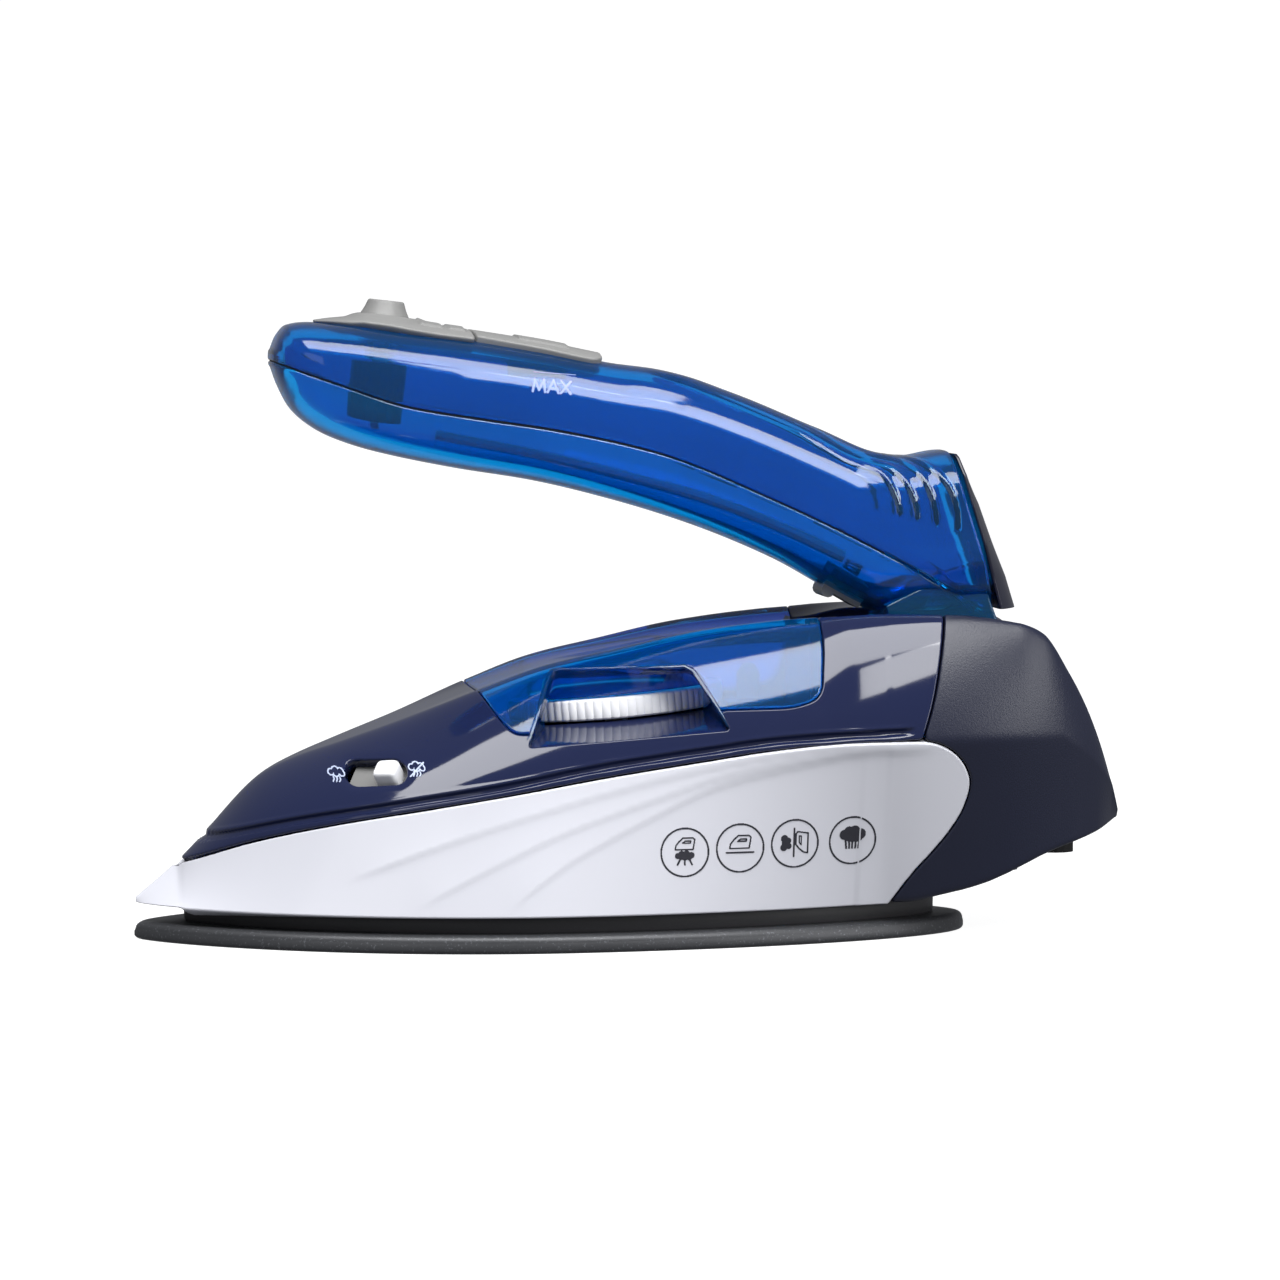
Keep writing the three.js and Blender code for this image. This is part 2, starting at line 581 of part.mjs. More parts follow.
function thermostatDial() {
  const rim = new THREE.Shape();
  const count = DIAL.flutes * 2;
  for (let i = 0; i < count; i++) {
    const turn = (2 * Math.PI * i) / count;
    const radius = i % 2 ? DIAL.radius : DIAL.radius - 0.7;
    const step = [radius * Math.cos(turn), radius * Math.sin(turn)];
    if (i === 0) rim.moveTo(...step);
    else rim.lineTo(...step);
  }
  const run = { depth: DIAL.thick, bevelEnabled: false };
  const wheel = solidOf(new THREE.ExtrudeGeometry(rim, run).translate(0, 0, -DIAL.thick / 2));
  const dish = turned([[0, -3], [18, -3], [18, -0.6], [0, -0.6]], 24).subtract(bar(4, -4, 4));
  return placed(wheel.subtract(dish), dialFrame);
}

const thermostatShaft = () => placed(bar(2.4, -22.4, -2.6, 12), dialFrame);
const thermostat = () => {
  const can = [[0, -29.4], [9, -29.4], [9, -23.8], [6, -22.8], [0, -22.8]];
  return placed(turned(can, 16), dialFrame);
};
const thermostatBracket = () => {
  const strap = box(DIAL.x - 4, DIAL.x + 22, -4, 4, COVER_TOP + GAP, COVER_TOP + 1.5);
  return strap.add(box(DIAL.x + 20.5, DIAL.x + 22, -4, 4, COVER_TOP + GAP, COVER_TOP + 9));
};

const steamSlider = () => {
  const [rear, front] = [KNOB.at + KNOB.long / 2, KNOB.at - KNOB.long / 2];
  const knob = box(front, rear, -KNOB.high / 2, KNOB.high / 2, -5.8, KNOB.proud);
  const track = box(-6.5, 11.5, -3.4, 3.4, -6.9, -5.6);
  return placed(knob.add(track), slotFrame);
};

const VALVE = { x: 58, foot: 5, neck: 2.4, shoulder: 6, top: 14 };
const dripValve = () => {
  const { foot, neck, shoulder, top } = VALVE;
  const profile = [[0, 0], [foot, 0], [foot, shoulder], [neck, shoulder + 1.5], [neck, top], [0, top]];
  return moved(turned(profile, 14), VALVE.x, 0, COVER_TOP + GAP);
};

// From the drip valve, round the dial's shaft, to the floor of the well.
const hoseRoute = [
  [VALVE.x, 0, COVER_TOP + VALVE.top + 1.2], [60, 0, 35], [74, 0, 38], [100, 14, 36], [130, 10, 36],
  [150, 0, 39], [160, 0, 43.4],
];
const waterHose = () => tube(hoseRoute, 1.9, 16);

// From the pump to the handle's foot, clear of the latch.
const deliveryRoute = [
  [62, 5, 101], [80, 5, 97.5], [100, 5, 92.8], [120, 7, 87.5], [138, 8.6, 80.2], [147, 8.6, 76],
];
const deliveryTube = () => tube(deliveryRoute, 1.5, 14);

const suctionRoute = [[49, 0, 102.3], [48.95, 0, 103.4], [48.9, 0, 104.5], [48.9, 0, 105.6]];
const suctionTube = () => tube(suctionRoute, 0.9, 3);

const pivotPin = () => across(disc(PIVOT.pin), -FOOT_HALF - 4, FOOT_HALF + 4);

const hingeBush = (side) => {
  const ring = disc(PIVOT.bush);
  ring.holes.push(new THREE.Path().absarc(PIVOT.x, PIVOT.z, PIVOT.pin + RUNNING, 0, 2 * Math.PI, true));
  const edges = [FOOT_HALF + GAP, WELL.half].map((y) => side * y).sort((a, b) => a - b);
  return across(ring, ...edges);
};

const inletGland = () => {
  const { radius, bore } = INLET;
  const ring = [[bore, -1], [radius, -1], [radius, 5], [bore, 5], [bore, -1]];
  return moved(turned(ring, 16), INLET.x, 0, 16.6);
};

const terminalBlock = () => {
  const slots = box(167, 175, -6, -1, 28, 36).add(box(167, 175, 1, 6, 28, 36));
  return box(168, 180, -8, 8, 26, 34).subtract(slots);
};

const thermalFuse = () => {
  const lying = new THREE.Matrix4().makeRotationY(Math.PI / 2).setPosition(117, 7.5, COVER_TOP + 3);
  return placed(bar(2.2, -8, 8, 10), lying);
};

const LAMP = { x: 126, radius: 2.4, foot: 48 };
const pilotLamp = () => {
  const profile = [[0, 0], [LAMP.radius, 0], [LAMP.radius, 5], [LAMP.radius / 2, 7], [0, 7.4]];
  return moved(turned(profile, 12), LAMP.x, 0, LAMP.foot);
};
const lampHolder = () => box(LAMP.x - 5, LAMP.x + 5, -6, 6, LAMP.foot - 4, LAMP.foot - 0.5);

const screw = (x, y, z, down) => {
  const { shank, long, head, thick } = SCREW;
  const profile = [[0, -long], [shank, -long], [shank, 0], [head, 0], [head, thick], [0, thick]];
  const body = turned(profile, 10).subtract(box(-2, 2, -0.4, 0.4, 0.9, 3));
  return placed(body, new THREE.Matrix4().makeRotationX(down ? Math.PI : 0).setPosition(x, y, z));
};

// ---- scene graph ----

const finish = (color, roughness, metalness = 0, opacity = 1) =>
  new THREE.MeshStandardMaterial({ color, roughness, metalness, opacity, transparent: opacity < 1 });

const iron = new THREE.Group();
iron.position.x = -LENGTH / 2;

function place(name, solid, material) {
  const { vertProperties, triVerts } = solid.getMesh();
  const geometry = new THREE.BufferGeometry();
  geometry.setAttribute("position", new THREE.BufferAttribute(vertProperties, 3));
  geometry.setIndex(new THREE.BufferAttribute(triVerts, 1));
  const mesh = new THREE.Mesh(geometry, material);
  mesh.name = name;
  iron.add(mesh);
}

const aluminium = () => finish(0x8d8d90, 0.35, 0.9);
const darkPlastic = () => finish(0x2b2b2e, 0.6);
const clearBlue = () => finish(0x0a4fb4, 0.08, 0, 0.45);
const navyGloss = () => finish(0x1b2140, 0.15);
const greyPlastic = () => finish(0x8f8f8c, 0.5);
const steel = () => finish(0xb9bcc0, 0.3, 1);
const whiteGloss = () => finish(0xe6e6ea, 0.2);

place("soleplate", soleplate(), finish(0x4b4c4e, 0.45, 0.3));
place("heat_shield", heatShield(), darkPlastic());
place("steam_casting", steamCasting(), aluminium());
place("chamber_gasket", chamberGasket(), finish(0x9a3b2c, 0.8));
place("chamber_cover", chamberCover(), aluminium());
place("heating_element", heatingElement(), steel());
place("side_skirt", sideSkirt(), whiteGloss());
place("upper_housing", upperHousing(), navyGloss());
place("top_window", topWindow(), clearBlue());
place("rear_housing", rearHousing(), finish(0x2a2d42, 0.5));
place("handle_well", handleWell(), darkPlastic());
place("pivot_pin", pivotPin(), steel());
place("hinge_bush_left", hingeBush(-1), darkPlastic());
place("hinge_bush_right", hingeBush(1), darkPlastic());
place("thermostat", thermostat(), steel());
place("thermostat_bracket", thermostatBracket(), steel());
place("thermostat_shaft", thermostatShaft(), whiteGloss());
place("thermostat_dial", thermostatDial(), whiteGloss());
place("steam_slider", steamSlider(), whiteGloss());
place("drip_valve", dripValve(), finish(0xb08d4a, 0.35, 1));
place("water_hose", waterHose(), finish(0xd9d6cf, 0.5));
place("thermal_fuse", thermalFuse(), finish(0xd8d2c0, 0.6));
place("terminal_block", terminalBlock(), finish(0xe3ded2, 0.6));
place("pilot_lamp", pilotLamp(), finish(0xd8572a, 0.2));
place("lamp_holder", lampHolder(), darkPlastic());
place("inlet_gland", inletGland(), finish(0x17181a, 0.8));

place("tank_upper_shell", tankUpperShell(), clearBlue());
place("tank_lower_shell", tankLowerShell(), clearBlue());
place("tank_seal", tankSeal(), finish(0x123a80, 0.6));
place("handle_rear_plate", handleRearPlate(), finish(0x14162a, 0.3));
place("control_bezel", controlBezel(), greyPlastic());
place("pump_body", pumpBody(), darkPlastic());
place("pump_spring", pumpSpring(), steel());
place("suction_tube", suctionTube(), finish(0xd9d6cf, 0.5));
place("delivery_tube", deliveryTube(), finish(0xd9d6cf, 0.5));
place("steam_button", steamButton(), greyPlastic());
place("pump_piston", pumpPiston(), finish(0xd9d6cf, 0.5));
place("fill_cap", fillCap(), greyPlastic());
place("release_latch", releaseLatch(), greyPlastic());
place("latch_spring", latchSpring(), steel());

COVER_SCREWS.forEach(([x, y], i) => {
  place(`cover_screw_${i + 1}`, screw(x, y, COVER_TOP + GAP, false), steel());
});
REAR_SCREWS.forEach(([x, y], i) => {
  place(`rear_screw_${i + 1}`, screw(x, y, bottomZ(x) + 0.6, true), steel());
});

export default iron;
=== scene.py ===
"""Looks of a folding travel steam iron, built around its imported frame.

Shapes are drawn in millimetres, with x measured from the nose, y across and z up from the
ironing face. Each piece is placed in the frame's own metres when its mesh is made.
"""
import json
import logging
import math
from collections.abc import Callable, Iterable, Sequence
from dataclasses import dataclass, field
from enum import Enum

import bmesh
import bpy
import numpy as np
from mathutils import Matrix, Vector
from mathutils.geometry import tessellate_polygon


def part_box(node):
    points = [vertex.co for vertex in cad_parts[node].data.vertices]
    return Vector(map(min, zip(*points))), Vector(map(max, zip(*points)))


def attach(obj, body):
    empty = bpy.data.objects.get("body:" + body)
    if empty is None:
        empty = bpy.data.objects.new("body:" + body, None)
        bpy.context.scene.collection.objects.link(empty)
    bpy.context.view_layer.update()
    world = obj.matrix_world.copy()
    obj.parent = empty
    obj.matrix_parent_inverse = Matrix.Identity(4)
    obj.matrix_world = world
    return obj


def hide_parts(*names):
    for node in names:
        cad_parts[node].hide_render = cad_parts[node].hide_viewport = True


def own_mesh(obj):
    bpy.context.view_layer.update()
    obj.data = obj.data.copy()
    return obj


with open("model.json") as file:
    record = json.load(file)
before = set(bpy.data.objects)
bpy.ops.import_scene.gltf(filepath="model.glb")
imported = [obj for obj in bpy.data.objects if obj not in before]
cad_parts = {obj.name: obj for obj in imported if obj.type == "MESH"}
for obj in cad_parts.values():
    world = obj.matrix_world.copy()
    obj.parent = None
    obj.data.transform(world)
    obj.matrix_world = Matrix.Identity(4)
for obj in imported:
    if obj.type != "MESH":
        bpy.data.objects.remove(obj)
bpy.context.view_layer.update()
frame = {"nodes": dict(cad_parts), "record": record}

MM = 0.001
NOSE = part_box("soleplate")[0].x
GAP = 0.3  # between neighbouring panels
ROLL = 0.45  # radius on the edges of moulded panels
FAR = 99.0  # further than any piece reaches
BOW_POWER = 0.75  # how bluntly the plan outlines close at the nose

# Places (x, z) that several pieces share, with a tilt in degrees or the slot's rise along the side.
DIAL_AT, DIAL_TILT = (98.5, 47.9), 5.0
SLOT_AT, SLOT_RISE = (47.2, 35.6), 0.07
BUTTON_AT, BUTTON_TILT = (51.4, 126.6), 6.5

log = logging.getLogger("iron")

Array = np.ndarray
Field = Callable[[Array], Array]


class Side(Enum):
    """The two sides of the iron, by the sign of y."""

    LEFT = -1
    RIGHT = 1


class Body(Enum):
    """The bodies that pieces ride on."""

    BASE = "base"
    DIAL = "dial"
    SLIDER = "slider"
    HANDLE = "handle"
    BUTTON = "button"
    CAP = "cap"


class Slot(Enum):
    """The record's material slots."""

    SOLE = "sole_metal"
    DARK = "dark_plastic"
    ALUMINIUM = "aluminium"
    STEEL = "steel"
    BRASS = "brass"
    SILICONE = "silicone"
    WHITE = "white_gloss"
    NAVY = "navy_gloss"
    MATT = "navy_matt"
    CLEAR = "clear_blue"
    GREY = "grey_plastic"
    NATURAL = "natural_plastic"
    RUBBER = "black_rubber"
    LAMP = "lamp_red"


# Materials


class Signal:
    """A node's output, which takes part in arithmetic and adds its own Math nodes."""

    def __init__(self, paint: "Paint", socket: bpy.types.NodeSocket) -> None:
        """Wraps one output socket of a material."""
        self.paint = paint
        self.socket = socket

    def _math(self, operation: str, first: object, second: object) -> "Signal":
        """Adds a Math node over two values."""
        return self.paint.node("ShaderNodeMath", {"operation": operation}, {0: first, 1: second})

    def __add__(self, other: object) -> "Signal":
        """This plus another value."""
        return self._math("ADD", self, other)

    def __sub__(self, other: object) -> "Signal":
        """This less another value."""
        return self._math("SUBTRACT", self, other)

    def __rsub__(self, other: object) -> "Signal":
        """Another value less this."""
        return self._math("SUBTRACT", other, self)

    def __mul__(self, other: object) -> "Signal":
        """This times another value."""
        return self._math("MULTIPLY", self, other)

    __radd__ = __add__
    __rmul__ = __mul__


class Paint:
    """The nodes of one material, round a Principled shader."""

    def __init__(self, name: str) -> None:
        """Starts a material with an empty node tree.

        Args:
            name: The material's name.
        """
        self.material = bpy.data.materials.new(name)
        self.material.use_nodes = True
        self.tree = self.material.node_tree
        self.tree.nodes.clear()
        self.shader = self.tree.nodes.new("ShaderNodeBsdfPrincipled")
        out = self.tree.nodes.new("ShaderNodeOutputMaterial")
        self.tree.links.new(self.shader.outputs[0], out.inputs["Surface"])

    def node(self, kind: str, settings: dict, sockets: dict, output: int = 0) -> Signal:
        """Adds any node.

        Args:
            kind: The node's type.
            settings: Properties set first; "stops" sets a ramp's positions and colours.
            sockets: Values or signals for inputs, by name or number.
            output: Which output to return.

        Returns:
            The chosen output.
        """
        made = self.tree.nodes.new(kind)
        for key, value in settings.items():
            if key == "stops":
                self._set_stops(made.color_ramp, value)
            else:
                setattr(made, key, value)
        for key, value in sockets.items():
            self.feed(made.inputs[key], value)
        return Signal(self, made.outputs[output])

    def feed(self, socket: bpy.types.NodeSocket, value: object) -> None:
        """Links a signal to a socket, or sets the socket's own value."""
        if isinstance(value, Signal):
            self.tree.links.new(value.socket, socket)
        else:
            socket.default_value = value

    def set(self, **values: object) -> None:
        """Sets the shader's sockets; an underscore in a key stands for a space."""
        for key, value in values.items():
            self.feed(self.shader.inputs[key.replace("_", " ")], value)

    @staticmethod
    def _set_stops(ramp: bpy.types.ColorRamp, stops: Sequence[tuple[float, float]]) -> None:
        """Gives a ramp its grey stops."""
        while len(ramp.elements) < len(stops):
            ramp.elements.new(1)
        for element, (place, grey) in zip(ramp.elements, stops):
            element.position = place
            element.color = (grey, grey, grey, 1)

    def place(self) -> Signal:
        """The point on the piece, in millimetres."""
        spot = self.node("ShaderNodeTexCoord", {}, {}, output=3)
        return self.node("ShaderNodeVectorMath", {"operation": "SCALE"}, {0: spot, "Scale": 1 / MM})

    def noise(self, size: float, detail: float = 3.0, stretch: Sequence[float] = (1, 1, 1)) -> Signal:
        """Cloudy noise.

        Args:
            size: Size of a patch in millimetres.
            detail: Octaves of finer noise.
            stretch: How much the pattern is squeezed along each axis.

        Returns:
            The noise's value, about 0.5.
        """
        spot = self.node("ShaderNodeVectorMath", {"operation": "MULTIPLY"}, {0: self.place(), 1: stretch})
        sockets = {"Vector": spot, "Scale": 1 / size, "Detail": detail}
        return self.node("ShaderNodeTexNoise", {}, sockets)

    def mix(self, factor: object, first: object, second: object) -> Signal:
        """A colour between two others."""
        sockets = {0: factor, 6: first, 7: second}
        return self.node("ShaderNodeMix", {"data_type": "RGBA"}, sockets, output=2)

    def bump(self, height: Signal, depth: float, strength: float = 1.0) -> None:
        """Gives the surface a fine relief of some depth in millimetres."""
        sockets = {"Height": height, "Distance": depth * MM, "Strength": strength}
        self.set(Normal=self.node("ShaderNodeBump", {}, sockets))


def srgb(red: float, green: float, blue: float) -> tuple[float, float, float, float]:
    """A screen colour of 0 to 255 as linear light."""
    light = [
        c / 255 / 12.92 if c < 10.3 else ((c / 255 + 0.055) / 1.055) ** 2.4
        for c in (red, green, blue)
    ]
    return (*light, 1.0)


def shaded(colour: Sequence[float], factor: float) -> tuple[float, float, float, float]:
    """A colour made lighter or darker."""
    return (*(min(1.0, c * factor) for c in colour[:3]), 1.0)


@dataclass(frozen=True)
class MouldedPlastic:
    """Moulded plastic, from a mirror polish to a spark-eroded grain."""

    colour: tuple[float, float, float, float]
    roughness: float
    grain: float = 0.25
    depth: float = 0.0
    smudge: float = 0.06
    shift: float = 0.06
    coat: float = 0.0

    def paint(self, name: str) -> bpy.types.Material:
        """Makes the material: faint flow marks in the colour, handling marks and a fine grain."""
        paint = Paint(name)
        flow = paint.noise(28, 2)
        low, high = shaded(self.colour, 1 - self.shift), shaded(self.colour, 1 + self.shift)
        marks = paint.noise(9, 4)
        paint.set(
            Base_Color=paint.mix(flow, low, high),
            Roughness=marks * self.smudge + (self.roughness - self.smudge / 2),
            IOR=1.49,
            Coat_Weight=self.coat,
            Coat_Roughness=0.04,
        )
        if self.depth:
            paint.bump(paint.noise(self.grain, 2), self.depth)
        return paint.material


@dataclass(frozen=True)
class ClearPlastic:
    """Tinted clear plastic: light passes through it and takes its colour."""

    colour: tuple[float, float, float, float]
    roughness: float = 0.05
    ripple: float = 0.012
    clarity: float = 0.9

    def paint(self, name: str) -> bpy.types.Material:
        """Makes the material: a tint that varies a little, and the faint ripple of a moulding."""
        paint = Paint(name)
        flow = paint.noise(22, 2)
        paint.set(
            Base_Color=paint.mix(flow, shaded(self.colour, 0.9), shaded(self.colour, 1.1)),
            Roughness=paint.noise(6, 3) * 0.03 + self.roughness,
            IOR=1.49,
            Transmission_Weight=self.clarity,
        )
        paint.bump(paint.noise(14, 1), self.ripple)
        return paint.material


@dataclass(frozen=True)
class CoatedMetal:
    """A non-stick coating on metal: dark, satin, finely speckled."""

    colour: tuple[float, float, float, float]
    fleck: tuple[float, float, float, float]
    roughness: float = 0.42

    def paint(self, name: str) -> bpy.types.Material:
        """Makes the material: flecks in a satin coat with a pebbled surface."""
        paint = Paint(name)
        stops = {"stops": [(0.6, 0), (0.72, 1)]}
        flecks = paint.node("ShaderNodeValToRGB", stops, {0: paint.noise(0.5, 2)})
        paint.set(
            Base_Color=paint.mix(flecks, self.colour, self.fleck),
            Roughness=paint.noise(5, 3) * 0.14 + (self.roughness - 0.07),
            Metallic=0.35,
        )
        paint.bump(paint.noise(0.35, 3), 0.02)
        return paint.material


@dataclass(frozen=True)
class BareMetal:
    """Bare metal with fine marks that run one way."""

    colour: tuple[float, float, float, float]
    roughness: float = 0.3
    along: tuple[float, float, float] = (0.05, 1.0, 1.0)

    def paint(self, name: str) -> bpy.types.Material:
        """Makes the material: brushed streaks in the gloss and the relief."""
        paint = Paint(name)
        streak = paint.noise(0.3, 2, self.along)
        paint.set(
            Base_Color=paint.mix(paint.noise(7, 3), shaded(self.colour, 0.82), self.colour),
            Roughness=streak * 0.22 + (self.roughness - 0.11),
            Metallic=1.0,
        )
        paint.bump(streak, 0.01)
        return paint.material


@dataclass(frozen=True)
class PrintedInk:
    """A thin layer of printed ink with slightly uneven cover."""

    colour: tuple[float, float, float, float]

    def paint(self, name: str) -> bpy.types.Material:
        """Makes the material: a satin film a little thinner in places."""
        paint = Paint(name)
        cover = paint.noise(0.8, 3)
        paint.set(
            Base_Color=paint.mix(cover, self.colour, shaded(self.colour, 1.3)),
            Roughness=cover * 0.2 + 0.35,
        )
        return paint.material


class Finishes:
    """Every finish on the iron, each made once."""

    def __init__(self) -> None:
        """Makes the materials."""
        kinds = {
            Slot.SOLE: CoatedMetal(srgb(60, 61, 64), srgb(92, 94, 98)),
            Slot.DARK: MouldedPlastic(srgb(44, 44, 47), 0.5, depth=0.03),
            Slot.ALUMINIUM: BareMetal(srgb(176, 177, 180), 0.42),
            Slot.STEEL: BareMetal(srgb(196, 198, 202), 0.28),
            Slot.BRASS: BareMetal(srgb(196, 158, 88), 0.32),
            Slot.SILICONE: MouldedPlastic(srgb(152, 58, 42), 0.7, depth=0.02, shift=0.12),
            Slot.WHITE: MouldedPlastic(srgb(207, 208, 216), 0.2, shift=0.012, coat=0.15),
            Slot.NAVY: MouldedPlastic(srgb(24, 31, 62), 0.07, smudge=0.04),
            Slot.MATT: MouldedPlastic(srgb(23, 27, 47), 0.36, grain=0.35, depth=0.035),
            Slot.CLEAR: ClearPlastic((0.002, 0.19, 0.58, 1.0)),
            Slot.GREY: MouldedPlastic(srgb(124, 124, 123), 0.46, grain=0.3, depth=0.03),
            Slot.NATURAL: MouldedPlastic(srgb(222, 218, 206), 0.4, shift=0.05),
            Slot.RUBBER: MouldedPlastic(srgb(24, 24, 26), 0.75, depth=0.05),
            Slot.LAMP: ClearPlastic((0.85, 0.12, 0.03, 1.0)),
        }
        self.of = {slot: kind.paint(slot.value) for slot, kind in kinds.items()}
        # A lighter copy of the clear blue for the lower shell and its foot: painted light, standing in for
        # the brighter light that shows through the lower shell.
        self.clear_painted_lighter = ClearPlastic((0.002, 0.27, 0.68, 1.0)).paint("clear_blue_painted_lighter")
        self.bright_white = MouldedPlastic(srgb(238, 239, 242), 0.3, shift=0.01).paint("bright_white")
        self.plate = MouldedPlastic(srgb(18, 19, 38), 0.28).paint("plate_gloss")
        self.dark_ink = PrintedInk(srgb(38, 38, 46)).paint("dark_ink")
        self.pale_ink = PrintedInk(srgb(170, 180, 205)).paint("pale_ink")
        self.mark_ink = PrintedInk(srgb(134, 150, 196)).paint("fill_mark_ink")


# Curves and outlines


class Rail:
    """A smooth function through (at, value) points that never overshoots them."""

    def __init__(self, *points: tuple[float, float]) -> None:
        """Takes the points in order of at."""
        self.at, self.value = np.array(points, float).T
        rise = np.diff(self.value) / np.diff(self.at)
        before, after = rise[:-1], rise[1:]
        level = before * after <= 0
        total = np.where(level, 1, before + after)
        middle = np.where(level, 0, 2 * before * after / total)
        self.slope = np.concatenate([rise[:1], middle, rise[-1:]])

    def __call__(self, at: Array | float) -> Array:
        """The value at a place or an array of places."""
        x = np.clip(at, self.at[0], self.at[-1])
        k = np.clip(np.searchsorted(self.at, x, side="right") - 1, 0, len(self.at) - 2)
        span = self.at[k + 1] - self.at[k]
        t = (x - self.at[k]) / span
        y0, y1 = self.value[k], self.value[k + 1]
        m0, m1 = self.slope[k] * span, self.slope[k + 1] * span
        return y0 + t * (m0 + t * (3 * (y1 - y0) - 2 * m0 - m1 + t * (2 * (y0 - y1) + m0 + m1)))


def smooth_line(points: Sequence[Sequence[float]], steps: int = 8) -> Array:
    """A Catmull-Rom curve through points.

    Args:
        points: Points that the curve passes through.
        steps: Steps between two points.

    Returns:
        The curve's points.
    """
    p = np.array(points, float)
    p = np.vstack([2 * p[0] - p[1], p, 2 * p[-1] - p[-2]])
    t = np.linspace(0, 1, steps, endpoint=False)[:, None]
    parts = []
    for a, b, c, d in zip(p, p[1:], p[2:], p[3:]):
        cubic = 2 * b + (c - a) * t + (2 * a - 5 * b + 4 * c - d) * t**2 + (3 * b - a - 3 * c + d) * t**3
        parts.append(cubic / 2)
    return np.vstack([*parts, p[-2:-1]])


def corner(back: Array, here: Array, ahead: Array, radius: float, steps: int) -> list[Array]:
    """Points round one rounded corner.

    Args:
        back: The corner before it.
        here: The corner.
        ahead: The corner after it.
        radius: How far from the corner the rounding starts, where its sides are long enough.
        steps: Steps round it.

    Returns:
        The points, from the side before to the side after.
    """
    back, ahead = back - here, ahead - here
    long_back, long_ahead = np.linalg.norm(back), np.linalg.norm(ahead)
    reach = min(radius, 0.45 * long_back, 0.45 * long_ahead)
    a, b = here + back / long_back * reach, here + ahead / long_ahead * reach
    return [(1 - t) ** 2 * a + 2 * t * (1 - t) * here + t**2 * b for t in np.linspace(0, 1, steps + 1)]


def rounded(points: Sequence[Sequence[float]], radius: float, steps: int = 6) -> Array:
    """A closed outline with its corners rounded.

    Args:
        points: Corners, each (x, z) or (x, z, own radius).
        radius: Radius of the corners that state none.
        steps: Steps round each corner.

    Returns:
        The outline's points.
    """
    flat = [np.array(p[:2], float) for p in points]
    made = []
    for i, here in enumerate(flat):
        own = points[i][2] if len(points[i]) > 2 else radius
        made += corner(flat[i - 1], here, flat[(i + 1) % len(flat)], own, steps)
    return np.array(made)


class Outline:
    """A closed outline in two coordinates, which tells how far inside it a point lies."""

    def __init__(self, points: Array | Sequence[Sequence[float]]) -> None:
        """Takes the corners in order."""
        self.points = np.array(points, float)

    def inside(self, x: Array, z: Array) -> Array:
        """Distance to the outline, above zero inside it.

        Args:
            x: First coordinates.
            z: Second coordinates.

        Returns:
            Signed distances, in the same shape.
        """
        place = np.stack([np.ravel(x), np.ravel(z)], -1)
        best = np.full(len(place), 1e9)
        crossed = np.zeros(len(place), bool)
        for a, b in zip(self.points, np.roll(self.points, -1, axis=0)):
            step = b - a
            size = step @ step
            if size < 1e-12:
                continue
            t = np.clip(((place - a) @ step) / size, 0, 1)
            away = place - a - t[:, None] * step
            best = np.minimum(best, (away**2).sum(1))
            spans = (a[1] > place[:, 1]) != (b[1] > place[:, 1])
            if a[1] != b[1]:
                at = a[0] + (place[:, 1] - a[1]) / (b[1] - a[1]) * step[0]
                crossed ^= spans & (place[:, 0] < at)
        return np.where(crossed, 1, -1).reshape(np.shape(x)) * np.sqrt(best).reshape(np.shape(x))


def line_distance(line: Array, x: Array, z: Array) -> tuple[Array, Array]:
    """How far points are from an open line.

    Args:
        line: The line's points.
        x: First coordinates.
        z: Second coordinates.

    Returns:
        Distances, and how far along the line the nearest place is, from 0 to 1.
    """
    best = np.full(np.shape(x), 1e9)
    along = np.zeros(np.shape(x))
    count = len(line) - 1
    for i in range(count):
        a, step = line[i], line[i + 1] - line[i]
        t = np.clip(((x - a[0]) * step[0] + (z - a[1]) * step[1]) / (step @ step), 0, 1)
        away = np.hypot(x - a[0] - t * step[0], z - a[1] - t * step[1])
        along = np.where(away < best, (i + t) / count, along)
        best = np.minimum(best, away)
    return best, along


def smoothstep(low: float, high: float, value: Array) -> Array:
    """0 below low, 1 above high, and a smooth rise between."""
    t = np.clip((value - low) / (high - low), 0, 1)
    return t * t * (3 - 2 * t)


def signed_power(value: Array, power: Array | float) -> Array:
    """A value's size to a power, with the value's sign."""
    return np.sign(value) * np.abs(value) ** power


def full_turn(steps: int) -> Array:
    """Angles once round, without the last that meets the first."""
    return np.linspace(0, 2 * math.pi, steps, endpoint=False)


def quarter_turn(steps: int) -> Array:
    """Angles from zero to a right angle."""
    return np.linspace(0, math.pi / 2, steps)


def lifted(plan: Array, height: float) -> Array:
    """An outline in x and y at a height."""
    return np.hstack([plan, np.full((len(plan), 1), height)])


# Meshes


@dataclass
class Solid:
    """Points, faces and, where they are known, the normals to shade with."""

    points: Array
    faces: list
    normals: Array | None = None

    def __add__(self, other: "Solid") -> "Solid":
        """Both solids in one mesh, shaded by its faces."""
        lift = len(self.points)
        faces = list(self.faces) + [[i + lift for i in face] for face in other.faces]
        return Solid(np.vstack([self.points, other.points]), faces)

    def moved(self, matrix: Matrix) -> "Solid":
        """The solid turned and shifted by a matrix."""
        m = np.array(matrix)
        return Solid(self.points @ m[:3, :3].T + m[:3, 3], self.faces)

    def mirrored(self) -> "Solid":
        """The solid on the other side of the iron."""
        flip = np.array([1, -1, 1])
        normals = None if self.normals is None else self.normals * flip
        return Solid(self.points * flip, [face[::-1] for face in self.faces], normals)


